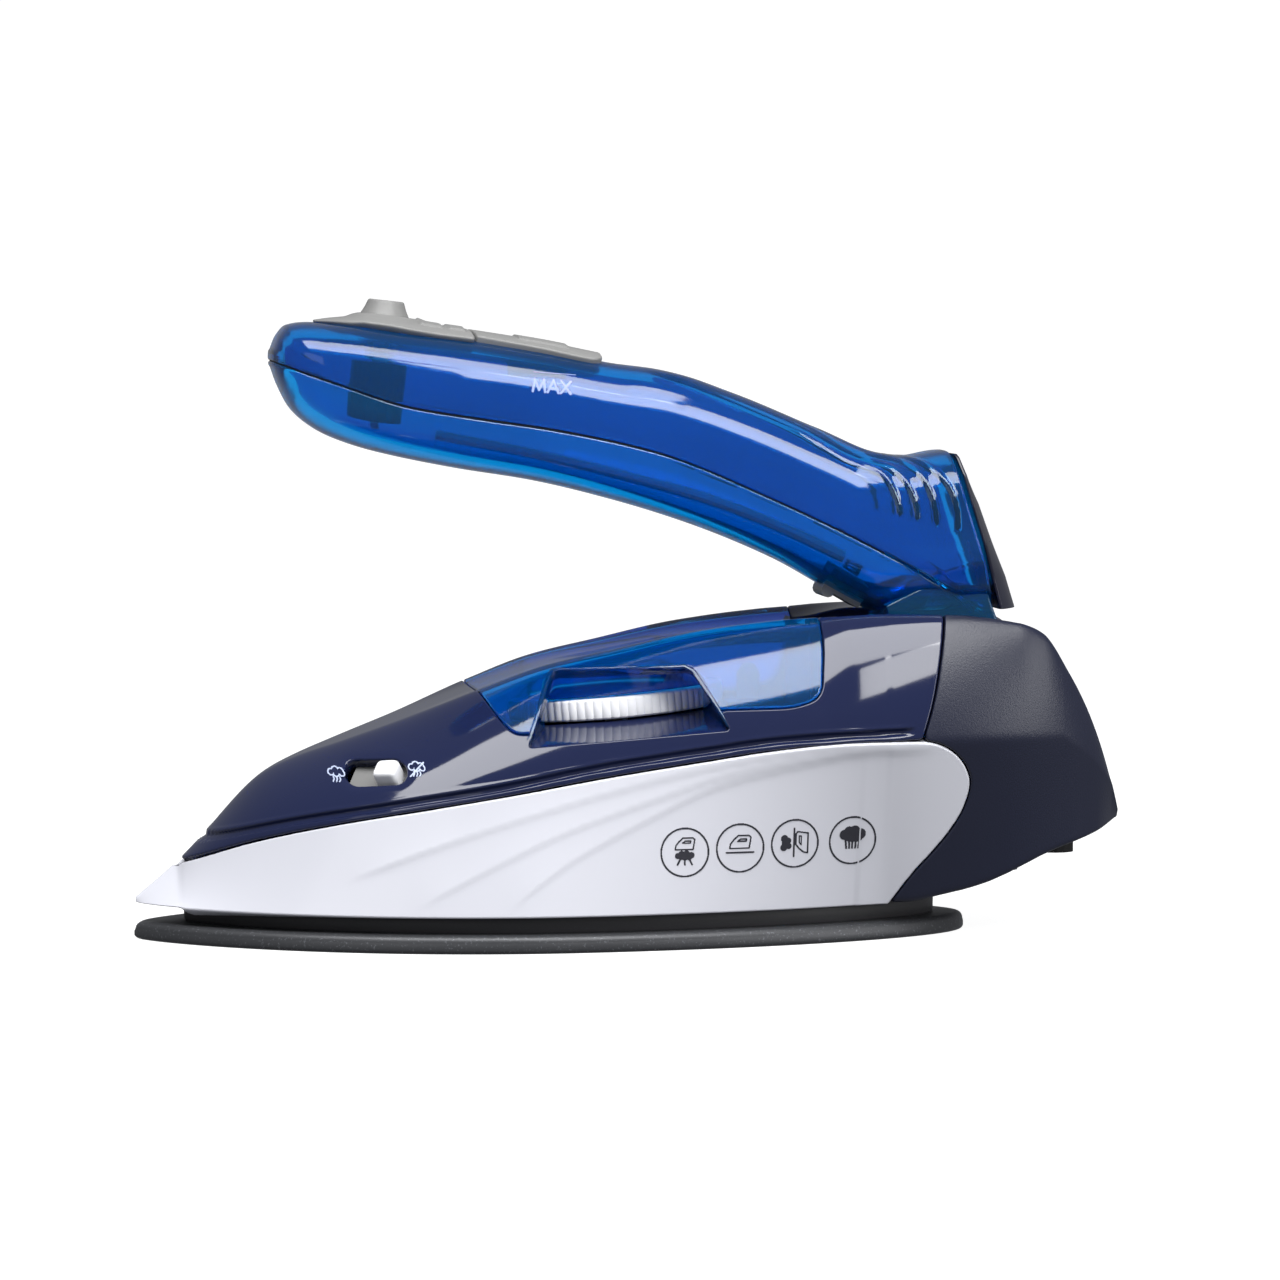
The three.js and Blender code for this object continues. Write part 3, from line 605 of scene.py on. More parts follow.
def grid_normals(points: Array, wrap: bool = False) -> Array:
    """Outward normals of a grid of points.

    Args:
        points: Points as rows along the piece and columns round it.
        wrap: Whether the last column meets the first.

    Returns:
        Unit normals in the same shape.
    """
    along = np.gradient(points, axis=0)
    if wrap:
        around = np.roll(points, -1, axis=1) - np.roll(points, 1, axis=1)
    else:
        around = np.gradient(points, axis=1)
    normals = np.cross(along, around)
    size = np.linalg.norm(normals, axis=-1, keepdims=True)
    return normals / np.maximum(size, 1e-9)


class Patch:
    """An open piece of skin, cut from a grid of points."""

    def __init__(self, points: Array, keep: Array, wrap: bool = False, flip: bool = False) -> None:
        """Cuts the grid where keep passes zero.

        Args:
            points: Points as rows and columns.
            keep: A value for each point, above zero on the piece.
            wrap: Whether the last column meets the first.
            flip: Whether the outside is the other way round.
        """
        normals = grid_normals(points, wrap) * (-1 if flip else 1)
        rows, columns = keep.shape
        ids = np.arange(rows * columns).reshape(rows, columns)
        if wrap:
            ids = np.hstack([ids, ids[:, :1]])
        quads = np.stack([ids[:-1, :-1], ids[1:, :-1], ids[1:, 1:], ids[:-1, 1:]], -1).reshape(-1, 4)
        if flip:
            quads = quads[:, ::-1]
        self._cut(points.reshape(-1, 3), normals.reshape(-1, 3), np.ravel(keep).copy(), quads)

    def _cut(self, points: Array, normals: Array, keep: Array, quads: Array) -> None:
        """Keeps the quads inside and trims those that the edge crosses.

        Args:
            points: All points.
            normals: Their normals.
            keep: Their values; a value near zero counts as zero.
            quads: Corners of each quad.
        """
        keep[np.abs(keep) < 0.04] = 0.0
        inside = keep[quads] >= 0
        faces = quads[inside.all(1)].tolist()
        crossed = quads[inside.any(1) & ~inside.all(1)].tolist()
        more_points, more_normals, known = [], [], {}

        def crossing(a: int, b: int) -> int:
            """The point where the edge passes between two corners."""
            key = (min(a, b), max(a, b))
            if key not in known:
                a, b = key
                t = keep[a] / (keep[a] - keep[b])
                known[key] = len(points) + len(more_points)
                more_points.append(points[a] + t * (points[b] - points[a]))
                more_normals.append(normals[a] + t * (normals[b] - normals[a]))
            return known[key]

        for quad in crossed:
            corners = []
            for a, b in zip(quad, quad[1:] + quad[:1]):
                if keep[a] >= 0:
                    corners.append(a)
                if keep[a] * keep[b] < 0:
                    corners.append(crossing(a, b))
            if len(corners) > 2:
                faces.append(corners)
        used = sorted({i for face in faces for i in face})
        place = {old: new for new, old in enumerate(used)}
        self.faces = [[place[i] for i in face] for face in faces]
        all_points = np.vstack([points, *([more_points] if more_points else [])])
        all_normals = np.vstack([normals, *([more_normals] if more_normals else [])])
        self.points = all_points[used]
        self.normals = all_normals[used]
        self.normals /= np.maximum(np.linalg.norm(self.normals, axis=1, keepdims=True), 1e-9)

    def _edge(self) -> tuple[dict, dict]:
        """The piece's edge, as what comes after and before each of its corners."""
        directed = {(a, b) for face in self.faces for a, b in zip(face, face[1:] + face[:1])}
        open_edges = [(a, b) for a, b in directed if (b, a) not in directed]
        after = {a: b for a, b in open_edges}
        before = {b: a for a, b in open_edges}
        return after, before

    def _outward(self, after: dict, before: dict) -> dict:
        """For each corner on the edge, the direction in the skin that points off the piece."""
        found = {}
        for i in after:
            ahead, back = i, i
            for _ in range(2):
                ahead, back = after.get(ahead, ahead), before.get(back, back)
            off = np.cross(self.points[ahead] - self.points[back], self.normals[i])
            found[i] = off / max(np.linalg.norm(off), 1e-9)
        smooth = {}
        for i, off in found.items():
            total = off + 0.5 * found.get(after[i], off) + 0.5 * found.get(before.get(i, i), off)
            total -= (total @ self.normals[i]) * self.normals[i]
            smooth[i] = total / max(np.linalg.norm(total), 1e-9)
        return smooth

    def thickened(self, wall: float | Array, roll: float = ROLL, steps: int = 3) -> Solid:
        """A closed wall with rolled edges behind the skin.

        Args:
            wall: How thick it is, for all points or for each.
            roll: Radius of the outer edge; the wall grows outwards by it.
            steps: Steps round the roll.

        Returns:
            The closed solid.
        """
        after, before = self._edge()
        outward = self._outward(after, before)
        edge = sorted(outward)
        thick = np.broadcast_to(np.asarray(wall, float), (len(self.points),))
        count = len(self.points)
        points = [self.points, self.points - self.normals * thick[:, None]]
        normals = [self.normals, -self.normals]
        faces = list(self.faces) + [[i + count for i in face[::-1]] for face in self.faces]
        off = np.array([outward[i] for i in edge])
        up = self.normals[edge]
        base = self.points[edge]
        depth = thick[edge][:, None]
        size = np.minimum(roll, 0.45 * depth)
        rings = [dict(zip(edge, edge))]
        total = 2 * count
        for k in range(1, steps + 2):
            turn = min(k, steps) / steps * math.pi / 2
            sink = size * (1 - math.cos(turn)) if k <= steps else depth
            points.append(base + off * size * math.sin(turn) - up * sink)
            normals.append(up * math.cos(turn) + off * math.sin(turn) - (up if k > steps else 0) * 0.7)
            rings.append({i: total + j for j, i in enumerate(edge)})
            total += len(edge)
        rings.append({i: i + count for i in edge})
        for outer, inner in zip(rings, rings[1:]):
            faces += [
                [outer[after[i]], outer[i], inner[i], inner[after[i]]] for i in edge if after[i] in outer
            ]
        made = np.vstack(normals)
        made /= np.maximum(np.linalg.norm(made, axis=1, keepdims=True), 1e-9)
        return Solid(np.vstack(points), faces, made)


def loft(rings: Sequence[Array], closed: bool = True) -> Solid:
    """A skin over rings of points, with a fan on each end.

    Args:
        rings: Rings with the same number of points.
        closed: Whether the ends are covered.

    Returns:
        The solid.
    """
    count = len(rings[0])
    points = np.vstack(rings)
    faces = []
    for i in range(len(rings) - 1):
        for j in range(count):
            k = (j + 1) % count
            faces.append([i * count + j, i * count + k, (i + 1) * count + k, (i + 1) * count + j])
    if closed:
        middles = np.array([np.mean(rings[0], axis=0), np.mean(rings[-1], axis=0)])
        low, high, last = len(points), len(points) + 1, (len(rings) - 1) * count
        points = np.vstack([points, middles])
        for j in range(count):
            k = (j + 1) % count
            faces.append([low, k, j])
            faces.append([high, last + j, last + k])
    return Solid(points, faces)


def tilted(at: Sequence[float], degrees: float) -> Matrix:
    """Axes with their origin at (x, z) in the middle plane, turned about y."""
    return Matrix.Translation((at[0], 0, at[1])) @ Matrix.Rotation(math.radians(degrees), 4, "Y")


def circle(x: float, y: float, radius: float, steps: int) -> Array:
    """Points round a circle."""
    turn = full_turn(steps)
    return np.stack([x + radius * np.cos(turn), y + radius * np.sin(turn)], -1)


def turned(profile: Sequence[tuple[float, float]], sides: int) -> Solid:
    """A solid of revolution about z.

    Args:
        profile: (radius, height) points, from the axis round to the axis again.
        sides: Steps round the axis.

    Returns:
        The solid.
    """
    return loft([lifted(circle(0, 0, r, sides), z) for r, z in profile if r > 0])


def soft_profile(profile: Sequence[tuple[float, float]], radius: float) -> list[tuple[float, float]]:
    """An open (radius, height) profile with rounded corners.

    Args:
        profile: Corners, the first and last on the axis.
        radius: Radius of each corner between them.

    Returns:
        The rounded profile.
    """
    p = np.array(profile, float)
    made = [tuple(p[0])]
    for back, here, ahead in zip(p, p[1:], p[2:]):
        made += [tuple(spot) for spot in corner(back, here, ahead, radius, 4)]
    return [*made, tuple(p[-1])]


def slab(outline: Array, low: float, high: float, roll: float) -> Solid:
    """An outline in x and y made thick in z, with rounded edges.

    Args:
        outline: Points of a convex outline.
        low: Lower face.
        high: Upper face.
        roll: Radius of the edges.

    Returns:
        The solid.
    """
    middle = outline.mean(0)
    away = outline - middle
    size = np.linalg.norm(away, axis=1, keepdims=True)
    turns = quarter_turn(5)
    levels = [(turn, low + roll * (1 - math.cos(turn))) for turn in turns]
    levels += [(turn, high - roll * (1 - math.cos(turn))) for turn in turns[::-1]]
    return loft([lifted(middle + away * (1 - roll * (1 - math.sin(turn)) / size), z) for turn, z in levels])


def tube(route: Array, radius: float, sides: int = 24) -> Solid:
    """A round bar along a line.

    Args:
        route: The line's points.
        radius: The bar's radius.
        sides: Steps round it.

    Returns:
        The solid.
    """
    route = np.array(route, float)
    ways = np.gradient(route, axis=0)
    ways /= np.linalg.norm(ways, axis=1, keepdims=True)
    side = np.cross(ways[0], [0.3, 0.2, 1.0])
    turn = full_turn(sides)
    rings = []
    for spot, way in zip(route, ways):
        side = side - (side @ way) * way
        side /= np.linalg.norm(side)
        rise = np.cross(way, side)
        rings.append(spot + radius * (np.cos(turn)[:, None] * side + np.sin(turn)[:, None] * rise))
    return loft(rings)


class Workshop:
    """Makes pieces from solids and gives them a body and a finish."""

    def __init__(self) -> None:
        """Makes the finishes."""
        self.finishes = Finishes()
        self.replaced: set[str] = set()

    def piece(
        self,
        name: str,
        solid: Solid,
        body: Body,
        slot: Slot,
        replaces: Iterable[str] = (),
        material: bpy.types.Material | None = None,
        crease: float = 40.0,
    ) -> bpy.types.Object:
        """Makes one piece.

        Args:
            name: The piece's name.
            solid: Its mesh in millimetres.
            body: The body that it rides on.
            slot: The record's slot for its finish.
            replaces: Nodes that it stands for.
            material: A finish of its own, in place of the slot's.
            crease: Edges sharper than this many degrees stay sharp.

        Returns:
            The object.
        """
        mesh = bpy.data.meshes.new(name)
        mesh.from_pydata((solid.points * MM + [NOSE, 0, 0]).tolist(), [], solid.faces)
        mesh.validate()
        mesh.polygons.foreach_set("use_smooth", [True] * len(mesh.polygons))
        if solid.normals is not None and len(mesh.vertices) == len(solid.normals):
            mesh.normals_split_custom_set_from_vertices(solid.normals.tolist())
        else:
            self._turn_out(mesh)
            mesh.set_sharp_from_angle(angle=math.radians(crease))
        mesh.materials.append(material or self.finishes.of[slot])
        made = bpy.data.objects.new(name, mesh)
        bpy.context.scene.collection.objects.link(made)
        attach(made, body.value)
        if replaces:
            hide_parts(*replaces)
            self.replaced.update(replaces)
        log.info("%s: %d faces on %s", name, len(mesh.polygons), body.value)
        return made

    @staticmethod
    def _turn_out(mesh: bpy.types.Mesh) -> None:
        """Turns every face of a closed mesh outwards."""
        work = bmesh.new()
        work.from_mesh(mesh)
        bmesh.ops.recalc_face_normals(work, faces=work.faces)
        work.to_mesh(mesh)
        work.free()

    def dress(self, node: str, slot: Slot, bevel: float = 0.25) -> None:
        """Gives a carried-over node its finish and soft edges.

        Args:
            node: The node's name.
            slot: The record's slot for its finish.
            bevel: Width of the soft edges in millimetres.
        """
        carried = frame["nodes"][node]
        carried.data.materials.clear()
        carried.data.materials.append(self.finishes.of[slot])
        edge = carried.modifiers.new("soft_edges", "BEVEL")
        edge.width = bevel * MM
        edge.segments = 2
        edge.limit_method = "ANGLE"
        edge.angle_limit = math.radians(50)
        edge.harden_normals = False
        log.info("%s: carried over in %s", node, slot.value)


# Housing


@dataclass(frozen=True)
class Leaf:
    """A boat-shaped plan outline."""

    nose: float
    tail: float
    half: float
    widest: float

    def width(self, x: Array | float) -> Array:
        """Half the width at x."""
        fore = np.clip((self.widest - x) / (self.widest - self.nose), 0, 1)
        aft = np.clip((x - self.widest) / (self.tail - self.widest), 0, 1)
        return self.half * (1 - fore**2) ** BOW_POWER * (1 - aft**1.65) ** 0.55

    def plan(self, inset: float = 0.0, steps: int = 110) -> Array:
        """The outline drawn in by an inset.

        Args:
            inset: How far, square to the outline.
            steps: Steps along one side.

        Returns:
            Points (x, y) from the nose, along the left side and back on the right.
        """
        turn = np.linspace(0, math.pi, steps + 1)
        x = self.nose + (self.tail - self.nose) * (1 - np.cos(turn)) / 2
        left = np.stack([x, -self.width(x)], -1)
        way = np.gradient(left, axis=0)
        way /= np.linalg.norm(way, axis=1, keepdims=True)
        left = left + inset * np.stack([-way[:, 1], way[:, 0]], -1)
        left[:, 1] = np.minimum(left[:, 1], 0)
        left[0], left[-1] = (self.nose + 2 * inset, 0), (self.tail - inset, 0)
        left[:, 0] = np.clip(left[:, 0], left[0, 0], left[-1, 0])
        right = left[1:-1][::-1] * [1, -1]
        return np.vstack([left, right])


SOLE = Leaf(0, 171, 39.38, 78)
RISER = Leaf(9.5, 165, 35.5, 78)


@dataclass
class HullForm:
    """The form of the housing: rails along its length and the sections between them.

    groove_fine holds how much closer points lie at the groove, how far under its line and over what
    height. fine_ends holds where the nose ends, where the heel slopes, and the share of a step there.
    """

    length: float = 201.8
    belt_nose: float = 8.8
    belt_half: float = 36.4
    stern: float = 203.5
    stern_power: float = 4.5
    flank_power: float = 1.5
    skirt_inset: float = 0.8
    round_off: float = 0.55
    keel_start: float = 145
    heel_start: float = 150
    heel_spare: float = 4
    open_girth: float = 46
    closed_girth: float = 66
    density: float = 1.5
    groove_fine: tuple = (2.2, 0.6, 1.6)
    fine_ends: tuple = (4, 183, 0.3)
    ridge: Rail = field(default_factory=lambda: Rail(
        (0, 8.2), (8.8, 15.8), (12, 19), (26, 33.6), (32, 36.8), (42, 40.6), (54, 45.1), (69, 51.3),
        (82.7, 56.4), (96, 59.5), (114, 63.4), (134, 65.7), (151, 66.5), (164, 66.3), (178, 64.6),
        (183, 62.6), (189.2, 54), (193.4, 46.5), (197.7, 36.5), (200.7, 28.1), (201.8, 25),
    ))
    ridge_half: Rail = field(default_factory=lambda: Rail(
        (0, 0.2), (24, 0.4), (32, 2.5), (42, 7), (54, 10.5), (70, 15), (96, 17.2), (120, 18.2),
        (136, 20), (144, 23), (165, 24.5), (178, 24.5), (184, 23.5), (190, 21), (196, 16.8),
        (200.7, 10), (201.8, 8),
    ))
    bottom: Rail = field(default_factory=lambda: Rail(
        (0, 7.6), (155, 7.6), (163, 9), (171, 11), (186, 17.6), (196, 21), (201.8, 23.4),
    ))
    keel_half: Rail = field(default_factory=lambda: Rail(
        (145, 24), (152, 21.8), (162, 22), (176, 22), (190, 19), (196, 15.5), (201.8, 7.6),
    ))
    belt_line: Rail = field(default_factory=lambda: Rail(
        (8.8, 15.8), (24, 21.5), (40, 25.5), (59, 29), (77, 32.1), (91, 34.6), (111, 37.7),
        (127.5, 40), (144, 41.3), (170, 41.5),
    ))
    trough: Rail = field(default_factory=lambda: Rail(
        (56, 0), (80, 1), (110, 2.6), (136, 3.8), (150, 1.2), (190, 1.2),
    ))
    groove: Rail = field(default_factory=lambda: Rail(
        (10.2, 20.6), (31.4, 26.4), (51.3, 30.2), (71.3, 33.6), (91.3, 37.5), (111.5, 40.5),
        (127.6, 42.6), (156, 44.1),
    ))

    def belt(self, x: Array) -> Array:
        """Height of the widest line, which drops with the slope of the heel."""
        spare = np.where(np.asarray(x) < self.heel_start, FAR, self.heel_spare)
        sloped = (self.bottom(x) + self.ridge(x)) / 2 + spare
        return np.minimum(np.minimum(self.belt_line(x), sloped), self.ridge(x))

    def bottom_half(self, x: Array) -> Array:
        """Half the width along the lower edge."""
        fore = np.maximum(0.3, SOLE.width(x) - self.skirt_inset)
        return np.where(np.asarray(x) < self.keel_start, fore, self.keel_half(x))

    def belt_width(self, x: Array) -> Array:
        """Half the width at the belt."""
        fore = np.clip((SOLE.widest - x) / (SOLE.widest - self.belt_nose), 0, 1)
        aft = np.maximum(0, (x - SOLE.widest) / (self.stern - SOLE.widest))
        stern = np.sqrt(np.maximum(0, 1 - aft**self.stern_power))
        plan = self.belt_half * (1 - fore**2) ** BOW_POWER * stern
        return np.maximum(self.ridge_half(x), plan)

    def side(self, x: Array, z: Array) -> Array:
        """Half the width at height z.

        Args:
            x: Places along the length.
            z: Heights.

        Returns:
            Half widths.
        """
        low, belt, top = self.bottom(x), self.belt(x), self.ridge(x)
        t = np.clip((z - low) / np.maximum(belt - low, 1e-6), 0, 1)
        q = np.clip((z - belt) / np.maximum(top - belt, 1e-6), 0, 1)
        p = self.flank_power
        lower = self.bottom_half(x) + (self.belt_width(x) - self.bottom_half(x)) * t
        upper = self.ridge_half(x) + (self.belt_width(x) - self.ridge_half(x)) * (1 - q**p) ** (1 / p)
        return np.where(z <= belt, lower, upper)

    def half_section(self, x: float, floor: bool, step: float) -> Array:
        """The left half of a section, from the bottom up to the middle of the deck.

        Args:
            x: Place along the length.
            floor: Whether to start from the middle of the underside.
            step: Distance between points in millimetres, on a full-size section.

        Returns:
            Points (y, z) with y at or below zero.
        """
        low, belt, top = float(self.bottom(x)), float(self.belt(x)), float(self.ridge(x))
        foot, wide, ridge = float(self.bottom_half(x)), float(self.belt_width(x)), float(self.ridge_half(x))
        t = np.linspace(0, 1, 60)
        turn = t * math.pi / 2
        p = 2 / self.flank_power
        deck = 1 - t
        out, up = np.cos(turn) ** p, np.sin(turn) ** p
        parts = [
            np.stack([foot + (wide - foot) * t, low + (belt - low) * t], -1),
            np.stack([ridge + (wide - ridge) * out, belt + (top - belt) * up], -1),
            np.stack([deck * ridge, top - float(self.trough(x)) * (1 - deck**4)], -1),
        ]
        if floor:
            parts.insert(0, np.stack([foot * t, np.full(len(t), low)], -1))
        line = np.vstack([parts[0], *[part[1:] for part in parts[1:]]])
        girth, fine = (self.closed_girth, -FAR) if floor else (self.open_girth, float(self.groove(x)))
        return self._soften(self._spread(line, round(girth / step * self.density), fine), step)

    def _spread(self, line: Array, count: int, fine: float) -> Array:
        """Points spread along a line, closer together near the groove's height."""
        gain, below, reach = self.groove_fine
        size = np.linalg.norm(np.diff(line, axis=0), axis=1)
        middle = (line[1:, 1] + line[:-1, 1]) / 2
        weight = size * (1 + gain * np.exp(-(((middle - fine + below) / reach) ** 2)))
        reach = np.concatenate([[0], np.cumsum(weight)])
        at = np.linspace(0, reach[-1], count)
        return np.stack([np.interp(at, reach, line[:, k]) for k in (0, 1)], -1)

    def _soften(self, line: Array, step: float) -> Array:
        """Rounds the corners of a section."""
        radius = max(1, round(2 * self.round_off / step))
        kernel = np.hanning(2 * radius + 3)[1:-1]
        kernel /= kernel.sum()
        before = line[radius:0:-1] * [-1, 1] if abs(line[0, 0]) < 1e-6 else 2 * line[0] - line[radius:0:-1]
        after = line[-2:-radius - 2:-1] * [-1, 1]
        longer = np.vstack([before, line, after])
        return np.stack([np.convolve(longer[:, k], kernel, "valid") for k in (0, 1)], -1)

    def grid(self, start: float, end: float, floor: bool, step: float = 0.6) -> Array:
        """Points over the housing's skin.

        Args:
            start: First section's place.
            end: Last section's place.
            floor: Whether the sections close underneath.
            step: Distance between points.

        Returns:
            Rows along the length, columns from the bottom on the left, over the deck, to the right.
        """
        nose, heel, fine = self.fine_ends
        stations = [start]
        while stations[-1] < end:
            share = fine if stations[-1] < nose or stations[-1] > heel else 1.0
            stations.append(min(end, stations[-1] + step * share))
        rows = []
        for x in stations:
            left = self.half_section(x, floor, step)
            right = left[:-1][::-1] * [-1, 1]
            if floor:
                right = right[:-1]
            ring = np.vstack([left, right])
            rows.append(np.hstack([np.full((len(ring), 1), x), ring]))
        return np.array(rows)


@dataclass
class Housing:
    """The white skirt, the navy housings and the clear window, cut from one form.

    Outlines are (x, z), some with a corner's own radius. well holds where the handle's opening starts
    and ends and its half width, slot its length and height, and heel_thins the start, end and wall.
    """

    shop: Workshop
    form: HullForm = field(default_factory=HullForm)
    wall: float = 2.2
    seam: tuple = ((156.9, 41.5), (159.5, 50), (161.5, 59.6), (162.6, 66.3), (164.5, 80))
    heel: tuple = (
        (152, 41.4), (159.3, 40.9), (164.5, 38), (167.3, 33.2), (166.6, 28), (164.2, 23.2),
        (160.5, 18.3), (156, 13), (150.6, 5),
    )
    pane: tuple = (
        (66.6, 54.5, 1), (72.2, 45.8, 3), (74.6, 43.4, 2.5), (80.5, 43.4, 3), (112.3, 48, 4),
        (130.6, 48.4, 3), (136.3, 50.3, 4.5), (137.4, 60, 2), (137.6, 80), (66.6, 80),
    )
    recess: tuple = ((76.8, 40.6), (117.9, 43.9), (111, 56.6), (83, 55.6))
    recess_gap: float = 0.15
    pane_fit: float = 0.1
    flank: float = 15
    bow: tuple = (8.6, 15.4)
    well: tuple = (137.3, 182.3, 15.6)
    well_above: float = 48
    slot: tuple = (11.8, 5.0)
    lip: float = 0.12
    groove_depth: float = 0.75
    dish: float = 0.25
    wave: float = 0.22
    wave_banks: tuple = (3.2, 0.5)
    heel_thins: tuple = (176, 189, 0.2)
    heel_holes: tuple = ((190, 0, 4.6), (178, 10, 3.1), (178, -10, 3.1))
    swooshes: tuple = (
        (
            (38.9, 13.3), (52.3, 18.8), (63.6, 22.9), (80.5, 28.3), (100.1, 33.7), (117, 37.4),
            (134, 40.1), (151, 41),
        ),
        (
            (52, 7.6), (63.5, 14), (74.7, 19.7), (86, 24.7), (105.7, 31.6), (117, 35.2), (134, 38.4),
            (151, 40.2), (162, 40.2),
        ),
        (
            (71, 7.4), (80.2, 14.7), (88.7, 20.2), (105.7, 28.8), (117, 33.5), (134, 37.3),
            (145.4, 39.1), (163, 39.2),
        ),
    )

    def __post_init__(self) -> None:
        """Works out the outlines of the panels, which reach past the form where they end with it."""
        ahead, behind, under, over = -3, 210, -4, 90
        steps = 8
        belt_x = np.linspace(9, self.heel[0][0], 60)
        belt = np.stack([belt_x, self.form.belt_line(belt_x)], -1)
        heel, seam = smooth_line(self.heel, steps), smooth_line(self.seam, 5)
        bow = [(ahead, self.bow[1]), self.bow]
        foot, peak = (149, under), (self.seam[-1][0], over)
        self.skirt_outline = Outline(np.vstack([[(ahead, under)], bow, belt, heel, [foot]]))
        self.upper_outline = Outline(np.vstack([[(ahead, over)], bow, belt[:-1], seam, [peak]]))
        self.rear_outline = Outline(np.vstack([
            [peak], seam[::-1], heel[steps:], [foot, (behind, under), (behind, over)],
        ]))
        self.pane_outline = Outline(rounded(self.pane, 1.5))
        self.recess_outline = Outline(rounded(self.recess, 1.2))

    def well_room(self, p: Array) -> Array:
        """How far outside the deck's opening for the handle points are."""
        start, end, half = self.well
        along = np.abs(p[..., 0] - (start + end) / 2) - (end - start) / 2
        box = np.stack([along, np.abs(p[..., 1]) - half], -1)
        away = np.linalg.norm(np.maximum(box, 0), axis=-1) + np.minimum(box.max(-1), 0)
        return np.where(p[..., 2] > self.well_above, away, FAR)

    def slot_room(self, p: Array) -> Array:
        """How far outside the slide switch's slot points are, on the left side."""
        long, high = self.slot
        along = p[..., 0] - SLOT_AT[0]
        up = p[..., 2] - SLOT_AT[1] - along * SLOT_RISE
        reach = long / 2 - high / 2
        away = np.hypot(along - np.clip(along, -reach, reach), up * 1.1) - high / 2
        return np.where(p[..., 1] < 0, away, FAR)

    def relief(self, p: Array) -> Array:
        """Height of the groove with its lip and of the dish round the slot, on the upper housing."""
        over = p[..., 2] - self.form.groove(p[..., 0])
        cut = smoothstep(-1.5, -1.15, over) * (1 - smoothstep(-0.25, 0.05, over))
        lip = self.lip * np.exp(-(((over - 0.35) / 0.3) ** 2))
        dish = np.exp(-np.maximum(self.slot_room(p), 0) ** 2 / 0.9) * self.dish
        fade = smoothstep(11.5, 16, p[..., 0]) * (1 - smoothstep(152, 156, p[..., 0]))
        return lip * fade - self.groove_depth * cut * fade - dish

    def waves(self, p: Array) -> Array:
        """Height of the three long steps across the white skirt."""
        height = np.zeros(p.shape[:-1])
        for line in self.swooshes:
            curve = smooth_line(line, 6)
            away, along = line_distance(curve, p[..., 0], p[..., 2])
            order = np.argsort(curve[:, 0])
            over = p[..., 2] - np.interp(p[..., 0], curve[order, 0], curve[order, 1])
            fade = smoothstep(0.0, 0.12, along) * (1 - smoothstep(0.9, 1.0, along))
            bank = np.exp(-away / np.where(over > 0, *self.wave_banks))
            height += self.wave * bank * fade
        return height

    def panel(self, name: str, grid: Array, keep: Array, slot: Slot, wrap: bool = False) -> None:
        """Makes one panel of the housing.

        Args:
            name: The node that it replaces, with the piece's name made from it.
            grid: Points of the skin.
            keep: Distance inside the panel's edge for each point.
            slot: Its finish.
            wrap: Whether the sections close underneath.
        """
        patch = Patch(grid, keep, wrap, flip=True)
        x = patch.points[:, 0]
        start, end, thin = self.heel_thins
        wall = np.minimum(self.wall, 0.08 + 0.55 * self.form.belt_width(x))
        wall = wall - (wall - thin) * smoothstep(start, end, x)
        self.shop.piece(name + "_skin", patch.thickened(wall), Body.BASE, slot, [name])

    def build(self) -> None:
        """Makes the panels."""
        edge = GAP / 2 + ROLL
        plain = self.form.grid(0.35, SOLE.tail, floor=False)
        out = -grid_normals(plain)
        waved = plain + out * self.waves(plain)[..., None]
        skirt = self.skirt_outline.inside(plain[..., 0], plain[..., 2]) - edge
        self.panel("side_skirt", waved, skirt, Slot.WHITE)

        rows = plain[:, 0, 0] < self.seam[-1][0] + 3
        upper, out = plain[rows], out[rows]
        x, z = upper[..., 0], upper[..., 2]
        pane = self.pane_outline.inside(x, z)
        on_flank = np.abs(upper[..., 1]) > self.flank
        recess = -np.where(on_flank, self.recess_outline.inside(x, z), -FAR) - self.recess_gap
        well = self.well_room(upper) - ROLL
        slot = self.slot_room(upper) - ROLL
        raised = upper + out * self.relief(upper)[..., None]
        navy = [self.upper_outline.inside(x, z) - edge, self.pane_fit - pane - edge, recess, well, slot]
        self.panel("upper_housing", raised, np.min(navy, axis=0), Slot.NAVY)
        clear = [self.pane_fit + pane - edge, recess, well]
        self.panel("top_window", upper, np.min(clear, axis=0), Slot.CLEAR)

        rear = self._end_cap(self.form.grid(149, self.form.length, floor=True))
        x, y, z = rear[..., 0], rear[..., 1], rear[..., 2]
        matt = [self.rear_outline.inside(x, z) - edge, self.well_room(rear) - ROLL]
        underside = z < self.form.bottom(x) + 1.5
        for hole_x, hole_y, radius in self.heel_holes:
            away = np.hypot(x - hole_x, y - hole_y) - radius - ROLL
            matt.append(np.where(underside, away, FAR))
        self.panel("rear_housing", rear, np.min(matt, axis=0), Slot.MATT, wrap=True)

    def _end_cap(self, grid: Array) -> Array:
        """Adds rows that close the blunt end of the heel, just inside its full length."""
        last = grid[-1]
        middle = last.mean(0)
        rows = []
        for share, inset in ((0.97, 0.27), (0.85, 0.24), (0.5, 0.22), (0.004, 0.22)):
            row = middle + (last - middle) * share
            row[:, 0] = last[:, 0] - inset
            rows.append(row)
        return np.concatenate([grid, rows])


# Handle


